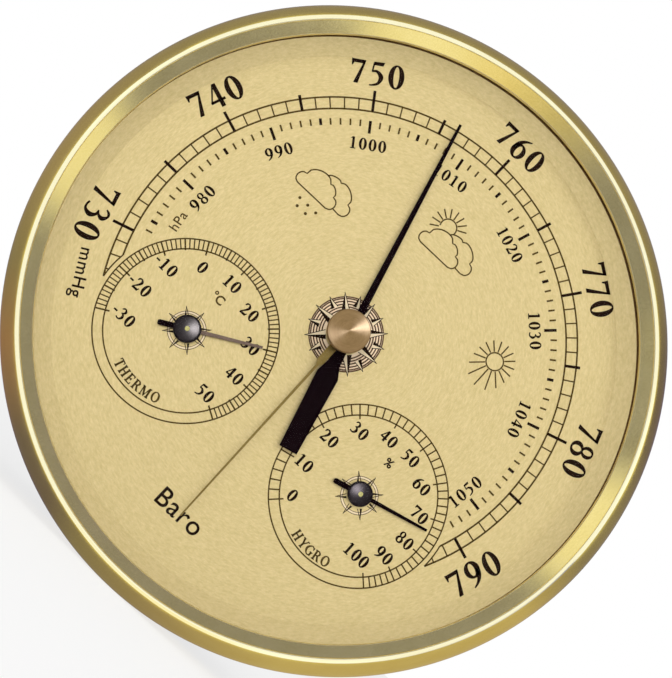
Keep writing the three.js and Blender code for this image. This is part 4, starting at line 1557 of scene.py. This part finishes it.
    def _figure(self, dial: SmallDial, value: int, angle: float) -> None:
        """Writes a figure of a small dial."""
        Lettering(self.ink, dial.label).figures(str(value), dial.figure_place(value, angle), 0)

    def _thermo_angle(self, value: int) -> float:
        """The angle of a degree on the thermometer's dial."""
        return (value - self.thermo_middle) * self.thermo_step

    def _thermo_ring(self) -> None:
        """The thermometer's ring, its word and its unit."""
        first, last = self.thermo_range
        marks = []
        for value in range(first, last + 1):
            five = value % 5 == 0
            reach = self.five_reach if five else 0.0
            if value % 10 == 0:
                reach = self.ten_reach
            marks.append((self._thermo_angle(value), reach, self.thermo_lines[five]))
        self._ring_scale(self.thermo, marks, "THERMO")
        self._small_unit(self.thermo, "°C")

    def _thermo(self) -> None:
        """The thermometer's figures."""
        first, last = self.thermo_range
        for value in range(first, last + 1, 10):
            self._figure(self.thermo, value, self._thermo_angle(value))

    def _hygro_ring(self) -> None:
        """The hygrometer's ring from 0 to 100 percent, and its word."""
        marks = []
        for percent in range(0, 101, 2):
            step = min(percent // 10, 9)
            low, high = self.hygro_marks[step], self.hygro_marks[step + 1]
            angle = low + (high - low) * (percent - step * 10) / 10
            marks.append((angle, self.ten_reach if percent % 10 == 0 else 0.0, self.fine))
        self._ring_scale(self.hygro, marks, "HYGRO")

    def _hygro(self) -> None:
        """The hygrometer's figures and its sign."""
        for index, angle in enumerate(self.hygro_marks):
            self._figure(self.hygro, index * 10, angle)
        self._small_unit(self.hygro, "%")

    def _clouds(self, x: float, y: float) -> None:
        """Two overlapping clouds, by the left end of the front one's flat bottom.

        Args:
            x: How far right that end lies.
            y: How far up.
        """
        for corners, closed in ((FRONT_CLOUD, True), (REAR_CLOUD, False)):
            placed = [(x + right, y + up, bulge) for right, up, bulge in corners]
            self.ink.stroke(bulged(placed, closed), self.fine, closed)

    def _rays(self, sun: Sun) -> None:
        """The rays of a sun.

        Args:
            sun: The sun.
        """
        for ray in range(sun.rays):
            angle = sun.first + sun.step * ray
            below = max(0.0, -math.cos(math.radians(angle)))
            end = sun.reach + sun.stretch * below**2
            self.ink.spoke(sun.centre, angle, sun.radius + self.ray_gap, end, self.fine)

    def _signs(self) -> None:
        """The signs for rain, change and fair weather."""
        rain, change = self.cloud_places
        self._clouds(*rain)
        for place in RAIN_DROPS:
            self.ink.polygon(circle(place, self.drop, sides=16))
        self._clouds(*change)
        self._rays(self.half_sun)
        shown = arc(self.half_sun.centre, self.half_sun.radius, *self.half_sun_arc, steps=40)
        self.ink.stroke(shown, self.fine)
        self._rays(self.sun)
        self.ink.loop(self.sun.centre, self.sun.radius, self.fine)

    def _spike(self, centre: Point, angle: float, spike: Spike, light: bool) -> None:
        """Half of a two-tone spike of a rosette, with the outline of the other half if it is the dark one.

        Args:
            centre: Centre of the rosette.
            angle: Where the spike points.
            spike: Its sizes.
            light: Whether this is the light half.
        """
        x, y = on_dial(spike.half, angle)
        base_x, base_y = on_dial(spike.base, angle, centre)
        point = on_dial(spike.tip, angle, centre)
        right, left = (base_x + y, base_y - x), (base_x - y, base_y + x)
        self.ink.polygon([(base_x, base_y), right if light else left, point])
        if not light:
            self.ink.stroke([right, point], self.spike_line)

    def _large_spikes(self, light: bool) -> None:
        """The light or the dark halves of the large rosette's spikes.

        Args:
            light: Whether they are the light ones.
        """
        for index in range(self.spikes):
            spike = self.short_spike if index % 2 else self.long_spike
            self._spike(self.rosette_centre, 360 / self.spikes * index, spike, light)

    def _light_spikes(self) -> None:
        """The light halves of the large rosette, and the light rings of the small ones."""
        self._large_spikes(light=True)
        outer, inner = self.small_rings
        for dial in (self.thermo, self.hygro):
            self.ink.strip(circle(dial.centre, outer), circle(dial.centre, inner), closed=True)

    def _dark_spikes(self) -> None:
        """The dark halves of all spikes."""
        self._large_spikes(light=False)
        for dial in (self.thermo, self.hygro):
            for index in range(self.small_spikes):
                self._spike(dial.centre, 360 / self.small_spikes * index, self.small_spike, light=False)

    def _rosette_ground(self) -> None:
        """The light ground of the large rosette."""
        radii = (self.rosette_rings[-1], self.rosette_inner)
        outer, inner = [circle(self.rosette_centre, radius, sides=120) for radius in radii]
        self.ink.strip(outer, inner, closed=True)

    def _rosette_rings(self) -> None:
        """The thin rings of the three rosettes."""
        width, outer_width, inner_width = self.ring_lines
        for radius in self.rosette_rings:
            self.ink.loop(self.rosette_centre, radius, width, sides=120)
        outer, inner = self.small_rings
        for dial in (self.thermo, self.hygro):
            self.ink.loop(dial.centre, outer + self.small_apart, outer_width)
            self.ink.loop(dial.centre, inner - self.small_apart, inner_width)

    def _words(self) -> None:
        """The dial's word and the outer scale's unit."""
        Lettering(self.ink, self.title).plain("Baro", self.title_place, 0)
        self._unit(self.mmhg, "mmHg")

    def _unit(self, scale: PressureScale, text: str) -> None:
        """Writes the unit of a pressure scale."""
        place = on_dial(scale.unit.radius, scale.unit_angle)
        Lettering(self.ink, scale.unit).plain(text, place, scale.turn(scale.unit_angle))


@dataclass
class Hands:
    """The pressure pointer, the setting hand and the two small hands.

    An outline's right half is listed from the tip to the tail.
    """

    edge: float = 0.06  # Radius of their rounded edges
    # Right half of the pointer's outline
    pointer_half: tuple[Point, ...] = (
        (0.3, 49.9), (0.82, 0.0), (1.25, -3.0), (1.35, -6.6), (2.32, -9.2), (1.92, -25.9),
    )
    # How far the pointer leans to the right, for each unit of its length from the tip
    pointer_lean: float = 0.0148
    pointer_angle: float = -14.4
    pointer_bore: float = 0.82  # Radius of the bore of its hub
    pointer_hub: float = 3.0  # Radius of that hub
    # Right half of the setting hand's outline
    set_half: tuple[Point, ...] = ((0.17, 48.2), (0.28, 8.8), (0.85, 7.8), (0.85, 0.0))
    set_edge: float = 0.04  # Radius of the setting hand's rounded edges
    set_angle: float = 178.8  # Where that hand points
    # Right half of the outline of a small hand's blade
    blade_half: tuple[Point, ...] = ((0.26, 15.3), (0.42, 1.0), (0.42, 0.0))
    # Right half of the outline of its tail
    tail_half: tuple[Point, ...] = ((0.55, 0.0), (0.55, -5.6), (0.35, -5.95))
    small_sheet: float = 0.3  # Thickness of a small hand
    small_bore: float = 0.83  # Radius of the bore of its hub
    hub_clear: float = 0.01  # How far the hub's inside stands over its arbor
    hub_rise: float = 0.05  # How far its top does
    hub_flat: float = 0.1  # Width of the flat round its pin
    # Shares of the hub's radius, and how far below its top the dome lies there
    hub_dome: tuple[Point, ...] = ((0.82, 0.19), (0.94, 0.26), (1.0, 0.4))
    pin: float = 0.48  # Radius of its pin
    # Shares of the pin's radius, and how far over the hub's top it reaches there
    pin_tip: tuple[Point, ...] = ((1.0, 0.06), (0.7, 0.12), (0.0, 0.14))
    thermo_angle: float = 60.0
    thermo_hub: float = 2.8  # Radius of the thermometer hand's hub
    hygro_angle: float = 75.2
    hygro_hub: float = 2.55  # Radius of the hygrometer hand's hub

    @staticmethod
    def _both_sides(half: tuple[Point, ...]) -> Loop:
        """A whole outline from its right half."""
        return [*half, *[(-x, y) for x, y in reversed(half)]]

    def build(self) -> None:
        """Builds the four hands where their nodes lie, and dresses them."""
        self._pressure()
        self._setting()
        self._small("thermo", self.thermo_angle, self.thermo_hub, HAND_GREY)
        self._small("hygro", self.hygro_angle, self.hygro_hub, HAND_BLACK)

    def _pressure(self) -> None:
        """The long black pointer with its broad tail, and its hub under the knob."""
        rear, front = depths_of("pressure_pointer")
        tip = self.pointer_half[0][1]
        outline = [(x + self.pointer_lean * (tip - y), y) for x, y in self._both_sides(self.pointer_half)]
        piece = plate("pressure_hand", [outline], rear, front, self.edge)
        turn_about(piece, self.pointer_angle)
        settle(piece, "pointer", [HAND_BLACK], ("pressure_pointer",))
        bore, rim = self.pointer_bore, self.pointer_hub
        ring = [(bore, rear), (bore, front), (rim - self.edge, front), (rim, front - self.edge), (rim, rear)]
        settle(turned("pressure_hub", ring, MIDDLE_SIDES), "pointer", [HAND_BLACK])

    def _setting(self) -> None:
        """The thin brass hand that the knob turns."""
        outline = self._both_sides(self.set_half)
        blade = plate("setting_needle", [outline], *depths_of("set_hand"), self.set_edge)
        turn_about(blade, self.set_angle)
        settle(blade, "setting_hand", [SET_HAND_BRASS], ("set_hand",))

    def _small(self, dial: str, angle: float, hub: float, finish: Finish) -> None:
        """A small hand with a domed hub and a brass pin.

        Args:
            dial: The word that the names of its nodes and its body start with.
            angle: Where it points.
            hub: Radius of its hub.
            finish: Finish of its blade.
        """
        node, body, arbor = f"{dial}_hand", f"{dial}_needle", f"{dial}_arbor"
        centre = axis_of(arbor)
        rear, tip = depths_of(node)[0], depths_of(arbor)[1]
        for part, half, paint, nodes in (
            ("blade", self.blade_half, finish, (node,)), ("tail", self.tail_half, HAND_BLACK, ())
        ):
            outline = [(centre[0] + x, centre[1] + y) for x, y in self._both_sides(half)]
            blade = plate(f"{node}_{part}", [outline], rear, rear + self.small_sheet, self.edge)
            turn_about(blade, angle, centre)
            settle(blade, body, [paint], nodes)
        bore, pin, over, top = self.small_bore, self.pin, tip + self.hub_clear, tip + self.hub_rise
        well = [(bore, rear), (bore, over), (pin, over), (pin, top), (pin + self.hub_flat, top)]
        dome = [(hub * share, top - drop) for share, drop in self.hub_dome]
        settle(turned(f"{node}_hub", [*well, *dome, (hub, rear)], MIDDLE_SIDES, centre), body, [HUB_BLACK])
        rounded = [(pin * share, top + rise) for share, rise in self.pin_tip]
        round_pin = turned(f"{node}_pin", [(0, over), (pin, over), *rounded], SMALL_SIDES, centre)
        settle(round_pin, body, [PIN_BRASS])


@dataclass
class Knob:
    """The turned setting knob in front of the lens."""

    chamfer: float = 0.18
    cone: float = 0.5  # How far its middle stands over its edge
    cone_steps: int = 8
    bore: float = 1.4  # Radius of the shaft's bore
    cap: float = 1.0  # Thickness of brass in front of that bore

    def build(self) -> None:
        """Builds the knob where its node lies, and dresses it."""
        rear, apex = depths_of("set_knob")
        radius, chamfer = reach_of("set_knob"), self.chamfer
        edge, bore_end = apex - self.cone, apex - self.cap
        shares = [step / self.cone_steps for step in range(self.cone_steps)]
        cone = [((radius - chamfer) * (1 - share), edge + self.cone * share) for share in shares]
        profile = [
            (self.bore, bore_end), (self.bore, rear), (radius - chamfer, rear), (radius, rear + chamfer),
            (radius, edge - chamfer), *cone, (0, apex), (0, bore_end),
        ]
        settle(turned("setting_knob", profile), "setting_hand", [KNOB_BRASS], ("set_knob",))


@dataclass
class RearCase:
    """The moulded case behind the dial."""

    wall: float = 2.2  # Thickness of its wall
    floor: float = 2.6  # Thickness of its back
    corner: float = 5.0  # Radius of its rear corner
    corner_steps: int = 8
    taper: float = 2.0  # How much narrower its back is
    keyhole: Point = (0.0, 44.8)  # Centre of the keyhole
    keyhole_radius: float = 4.2  # Radius of its wide end
    keyhole_slot: Point = (5.2, 4.4)  # Length and width of its slot
    adjuster_hole: float = 3.0  # Radius of the hole behind the adjuster
    vents: int = 5  # How many vents lie behind each sensor
    vent_pitch: float = 4.0  # Distance between two vents
    vent_half: float = 6.6  # Half the length of a vent
    vent_width: float = 1.8
    cut_front: float = 4.0  # Depth to which the openings are cut
    near: float = 0.5  # How near to each other a node's corners are that lie on one edge

    def build(self) -> None:
        """Builds the case where its node lies, cuts its openings and dresses it."""
        corners = corners_of("rear_case")
        flange, front = max(radius for radius, _ in corners), max(depth for _, depth in corners)
        flange_rear = min(depth for radius, depth in corners if radius > flange - self.near)
        behind = [radius for radius, depth in corners if depth < flange_rear + self.near]
        drum = max(radius for radius in behind if radius < flange - self.near)
        back = drum - self.taper
        middle = back - self.corner
        rounded = []
        for turn in quarter_turns(self.corner_steps):
            height = self.corner - self.corner * math.cos(turn)
            rounded.append((middle + self.corner * math.sin(turn), height))
        profile = [
            (0, 0), *rounded, (drum, flange_rear), (flange, flange_rear), (flange, front),
            (drum - self.wall, front), (back - self.wall, self.corner), (middle, self.floor), (0, self.floor),
        ]
        case = turned("moulded_case", profile)
        cut(case, [plate("cut", [loop], -CUT_PAST, self.cut_front) for loop in self._openings()])
        settle(case, "case", [CASE_PLASTIC], ("rear_case",))

    def _openings(self) -> list[Loop]:
        """The openings in the back.

        Returns:
            The outlines of the keyhole and its slot, of the adjuster's hole and of the vents.
        """
        x, y = self.keyhole
        length, width = self.keyhole_slot
        loops = [circle(self.keyhole, self.keyhole_radius), self._slot(x, y, y + length, width)]
        loops.append(circle(axis_of("adjuster_screw"), self.adjuster_hole))
        for arbor in ("thermo_arbor", "hygro_arbor"):
            x, y = axis_of(arbor)
            for index in range(self.vents):
                across = x + (index - self.vents // 2) * self.vent_pitch
                loops.append(self._slot(across, y - self.vent_half, y + self.vent_half, self.vent_width))
        return loops

    @staticmethod
    def _slot(x: float, bottom: float, top: float, width: float) -> Loop:
        """An upright slot with round ends."""
        return [*arc((x, top), width / 2, -90, 90, 12), *arc((x, bottom), width / 2, 90, 270, 12)]


@dataclass
class Capsule:
    """The corrugated capsule behind the dial, with a socket for its stem."""

    boss: float = 2.6  # Radius of its middle
    boss_height: float = 1.1  # How far its middle stands over its faces
    rim: float = 0.8  # Thickness of its rim
    ripples: int = 3  # Ripples of each face
    ripple: float = 0.45  # Depth of a ripple
    steps: int = 36  # Steps of each face
    socket: float = 1.3  # Radius of the stem's socket
    socket_depth: float = 1.0  # Depth of that socket

    def build(self) -> None:
        """Builds the capsule where its node lies, and dresses it."""
        centre = axis_of("aneroid_capsule")
        rear, front = depths_of("aneroid_capsule")
        radius = reach_of("aneroid_capsule") - centre[0]
        middle, top, edge = (rear + front) / 2, (front - rear) / 2 - self.boss_height, self.rim / 2
        face = []
        for step in range(self.steps + 1):
            share = step / self.steps
            wave = (1 - math.cos(2 * math.pi * self.ripples * share)) / 2
            height = top + (edge - top) * share - self.ripple * wave * (1 - share)
            face.append((self.boss + (radius - self.boss) * share, height))
        floor = front - self.socket_depth
        profile = [
            (0, floor), (self.socket, floor), (self.socket, front), (self.boss, front),
            *[(at, middle + height) for at, height in face],
            *[(at, middle - height) for at, height in reversed(face)],
            (self.boss, rear), (0, rear),
        ]
        piece = turned("corrugated_capsule", profile, MIDDLE_SIDES, centre)
        settle(piece, "case", [CAPSULE_NICKEL], ("aneroid_capsule",))


class Movement:
    """The nodes behind the dial, which keep their own meshes."""

    def dress(self, frame: dict) -> None:
        """Gives every node the finish of its slot.
        """
        for row in frame["record"]["subparts"]:
            node = frame["nodes"][row["node"]]
            node.data.materials.clear()
            node.data.materials.append(NODE_FINISHES[row["material_slot"]].material())
        LOG.info("dressed %d nodes", len(frame["nodes"]))


@dataclass(frozen=True)
class Card:
    """A curved card round the dial's axis, which only gloss reflects."""

    name: str
    near: float  # Depth of its front edge
    far: float  # Depth of its back edge
    reach: float  # Its radius
    # Angles round the dial, and the card's colour and cover there, which blend between them
    stops: tuple[tuple[float, Glow], ...]
    fade: float = 1.0  # Share of the colour that is left at its back edge
    step: float = 2.0  # Degrees between two rows of its corners
    layer: str = "glow"  # Name of the layer of its colours

    def _rows(self) -> list[tuple[float, Glow]]:
        """Blends the card's stops.

        Returns:
            The angle and glow of each upright row of its corners.
        """
        rows: list[tuple[float, Glow]] = []
        for (start, here), (end, there) in zip(self.stops, self.stops[1:]):
            count = max(1, round((end - start) / self.step))
            for index in range(count):
                share = index / count
                mixed = tuple(a + (b - a) * share for a, b in zip(here, there))
                rows.append((start + (end - start) * share, mixed))
        return [*rows, self.stops[-1]]

    def build(self) -> None:
        """Builds the card as a part of the stage."""
        rows = self._rows()
        points: list[Place] = []
        glows: list[Glow] = []
        for angle, (red, green, blue, cover) in rows:
            x, z = on_dial(self.reach * MM, angle)
            points += [(x, -self.near * MM, z), (x, -self.far * MM, z)]
            glows += [(red * share, green * share, blue * share, cover) for share in (1.0, self.fade)]
        faces = [(2 * i, 2 * i + 1, 2 * i + 3, 2 * i + 2) for i in range(len(rows) - 1)]
        mesh = bpy.data.meshes.new(self.name)
        mesh.from_pydata(points, [], faces)
        glow = mesh.color_attributes.new(self.layer, "FLOAT_COLOR", "POINT")
        for corner, colour in zip(glow.data, glows):
            corner.color = colour
        mesh.materials.append(self._glow())
        card = linked(self.name, mesh)
        card.visible_camera = False
        card.visible_diffuse = False
        card.visible_shadow = False
        card.visible_transmission = False
        card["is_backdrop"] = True

    def _glow(self) -> Material:
        """The glow of the card's own colours where it covers.

        Returns:
            The material, which is made once for all cards.
        """
        found = bpy.data.materials.get("card_glow")
        if found:
            return found
        made, bench = new_material("card_glow")
        drawn = bench.add("ShaderNodeVertexColor", layer_name=self.layer).outputs
        glow = bench.add("ShaderNodeEmission", {"Color": drawn["Color"], "Strength": 1.0})
        clear = bench.add("ShaderNodeBsdfTransparent")
        bench.surface(bench.blend(drawn["Alpha"], clear, glow))
        return made


@dataclass(frozen=True)
class Lamp:
    """A soft square lamp that lights matt surfaces, or one that only puts a shine on one piece."""

    name: str
    place: Place  # Where it stands, in metres
    aim: Place  # Where it looks
    size: float  # Its side
    power: float  # Its power in watts
    colour: Colour = (1.0, 1.0, 1.0)
    shines_on: str = ""  # The piece that it shines on, where it is not for all

    def build(self) -> None:
        """Builds the lamp."""
        lamp = linked(self.name, bpy.data.lights.new(self.name, "AREA"))
        lamp.location = self.place
        way = Vector(self.aim) - Vector(self.place)
        lamp.rotation_euler = way.to_track_quat("-Z", "Y").to_euler()
        lamp.data.size = self.size
        lamp.data.energy = self.power
        lamp.data.color = self.colour
        lamp.visible_glossy = bool(self.shines_on)
        lamp.visible_diffuse = not self.shines_on
        lamp.visible_transmission = False
        if self.shines_on:
            lit = bpy.data.collections.new(self.name)
            lit.objects.link(bpy.data.objects[self.shines_on])
            lamp.light_linking.receiver_collection = lit


WHITE = (1.12, 1.12, 1.07, 1.0)
CLEAR = (1.12, 1.12, 1.07, 0.0)
STRAW = (1.05, 0.96, 0.68, 0.95)
PALE_STRAW = (1.05, 0.95, 0.6, 0.66)
DIM_STRAW = (1.05, 0.95, 0.6, 0.33)
CLEAR_STRAW = (1.05, 0.95, 0.6, 0.0)
GREY = (0.32, 0.33, 0.45, 1.0)
OLIVE = (0.32, 0.31, 0.48, 1.0)
SHADE = (0.28, 0.27, 0.43, 1.0)
DUSK = (0.18, 0.165, 0.38, 1.0)
GOLDEN = (0.6, 0.55, 0.62, 1.0)
FADED = (0.37, 0.335, 0.5, 1.0)
AMBER = (0.36, 0.25, 0.4, 1.0)


def surround(name: str, near: float, start: float, end: float) -> Card:
    """A wide grey card far from the part, between two angles."""
    return Card(f"surround_{name}", near, far=-300, reach=500, stops=((start, GREY), (end, GREY)))


def strip(name: str, near: float, far: float, *stops: tuple[float, Glow]) -> Card:
    """A bright card that the crest and the band reflect."""
    return Card(f"{name}_strip", near, far, reach=110, stops=stops)


def beside_rim(name: str, near: float, *stops: tuple[float, Glow]) -> Card:
    """A dim card close to the part, which the rim reflects."""
    return Card(f"rim_{name}", near, far=-30, reach=90, stops=stops, fade=0.85)


@dataclass
class Studio:
    """The floor, lights, cards and camera."""

    camera_place: Place = (-9.36, -260.74, -41.77)  # The camera's place in millimetres
    camera_forward: Place = (0.0388, 0.9837, 0.1753)  # Where it looks
    camera_up: Place = (-0.6929, -0.0999, 0.7141)  # Which way its top points
    lens: float = 60.0  # Its focal length
    sensor: float = 36.0  # Width of its sensor
    clip_start: float = 0.01  # How near it sees, in metres
    # What the brass reflects
    cards: tuple[Card, ...] = (
        surround("top", 260, -50, 50),
        surround("right", 305, 50, 130),
        surround("low", 455, 130, 230),
        surround("left", 350, 230, 310),
        strip(
            "low", 185, 95, (122, CLEAR), (128, WHITE), (146, WHITE), (159, STRAW), (171, PALE_STRAW),
            (184, DIM_STRAW), (196, CLEAR_STRAW),
        ),
        strip("left", 140, 74, (266, CLEAR), (273, WHITE), (293, WHITE), (297, CLEAR)),
        strip("right", 130, 68, (52, CLEAR), (55, WHITE), (71, WHITE), (75, CLEAR)),
        beside_rim("top", 60, (-70, OLIVE), (-10, OLIVE), (20, OLIVE), (36, SHADE)),
        beside_rim("right", 58, (36, SHADE), (50, DUSK), (64, DUSK), (80, SHADE), (88, SHADE)),
        beside_rim("low", 71, (88, SHADE), (102, GOLDEN), (146, GOLDEN), (170, FADED), (188, SHADE)),
        beside_rim("left", 72, (188, SHADE), (197, DUSK), (209, DUSK), (226, AMBER), (240, SHADE)),
        beside_rim("upper_left", 67, (240, SHADE), (256, FADED), (266, FADED), (290, OLIVE)),
    )
    # What lights the part
    lamps: tuple[Lamp, ...] = (
        Lamp("key_lamp", (-0.42, -0.98, 0.2), (0.0, 0.0, 0.0), 0.5, 4.7),
        Lamp("top_lamp", (0.42, -0.9, 0.55), (0.0, -0.04, 0.0), 0.6, 5.2),
        Lamp(
            "knob_lamp", (0.17, -0.5, 0.35), (0.0, -0.04, 0.0), 0.14, 3.6, (0.55, 0.64, 1.0), "setting_knob"
        ),
        Lamp(
            "thermo_hub_lamp", (0.034, -0.625, 0.126), (-0.023, -0.04, -0.021), 0.1, 17.0,
            (1.0, 0.92, 0.92), "thermo_hand_hub",
        ),
        Lamp(
            "hygro_hub_lamp", (-0.018, -0.637, 0.06), (0.024, -0.04, -0.021), 0.1, 11.0,
            (1.0, 0.88, 0.95), "hygro_hand_hub",
        ),
    )
    ambient: float = 0.5  # How much light comes from everywhere
    floor_half: float = 3.0  # Half the floor's side, in metres
    floor_white: float = 0.9  # Brightness of the floor's matt white
    floor_glow: float = 0.75  # How much of the floor the camera sees as plain white

    def build(self) -> None:
        """Builds the whole studio."""
        self._camera()
        self._world()
        self._floor()
        for piece in (*self.cards, *self.lamps):
            piece.build()

    def _camera(self) -> None:
        """The camera, at the photograph's angle."""
        forward = Vector(self.camera_forward).normalized()
        right = forward.cross(Vector(self.camera_up)).normalized()
        up = right.cross(forward)
        camera = linked("camera", bpy.data.cameras.new("camera"))
        turn = Matrix((right, up, -forward)).transposed()
        camera.matrix_world = Matrix.Translation(Vector(self.camera_place) * MM) @ turn.to_4x4()
        camera.data.lens = self.lens
        camera.data.sensor_width = self.sensor
        camera.data.clip_start = self.clip_start
        bpy.context.scene.camera = camera

    def _world(self) -> None:
        """A white world for what is seen, and a softer one for the light that it gives."""
        world = bpy.data.worlds.new("studio")
        bpy.context.scene.world = world
        world.use_nodes = True
        world.node_tree.nodes.clear()
        bench = NodeBench(world.node_tree)
        path = bench.add("ShaderNodeLightPath").outputs
        seen = bench.math("MAXIMUM", path["Is Camera Ray"], path["Is Glossy Ray"])
        seen = bench.math("MAXIMUM", seen, path["Is Transmission Ray"])
        light = bench.add("ShaderNodeBackground", {"Color": (1, 1, 1, 1), "Strength": self.ambient})
        white = bench.add("ShaderNodeBackground", {"Color": (1, 1, 1, 1), "Strength": 1.0})
        mixed = bench.blend(seen, light, white)
        bench.add("ShaderNodeOutputWorld", {"Surface": mixed.outputs[0]})

    def _floor(self) -> None:
        """A pale floor under the bezel's lowest edge."""
        low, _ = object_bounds()
        half = self.floor_half
        mesh = bpy.data.meshes.new("floor")
        corners = [(x, y, low.z) for x, y in block(-half, -half, half, half)]
        mesh.from_pydata(corners, [], [(0, 1, 2, 3)])
        mesh.materials.append(self._pale())
        floor = linked("floor", mesh)
        floor.visible_glossy = False
        floor.visible_transmission = False
        floor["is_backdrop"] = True

    def _pale(self) -> Material:
        """A matt white that the camera sees brighter, so that the shadow on it stays faint.

        Returns:
            The material.
        """
        made, bench = new_material("floor_white")
        matt = bench.add("ShaderNodeBsdfDiffuse", {"Color": (*[self.floor_white] * 3, 1.0)})
        white = bench.add("ShaderNodeEmission", {"Strength": 1.0})
        seen = bench.add("ShaderNodeLightPath").outputs["Is Camera Ray"]
        bench.surface(bench.blend(bench.math("MULTIPLY", seen, self.floor_glow), matt, white))
        return made


def main() -> None:
    """Builds every sub-assembly, dresses it and sets the studio up."""
    logging.basicConfig(level=logging.INFO)
    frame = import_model()
    bpy.context.scene.view_settings.view_transform = "Standard"
    Movement().dress(frame)
    Bezel().build()
    Front().build()
    Dials().build()
    Hands().build()
    Knob().build()
    Capsule().build()
    RearCase().build()
    Studio().build()


if __name__ == "__main__":
    main()
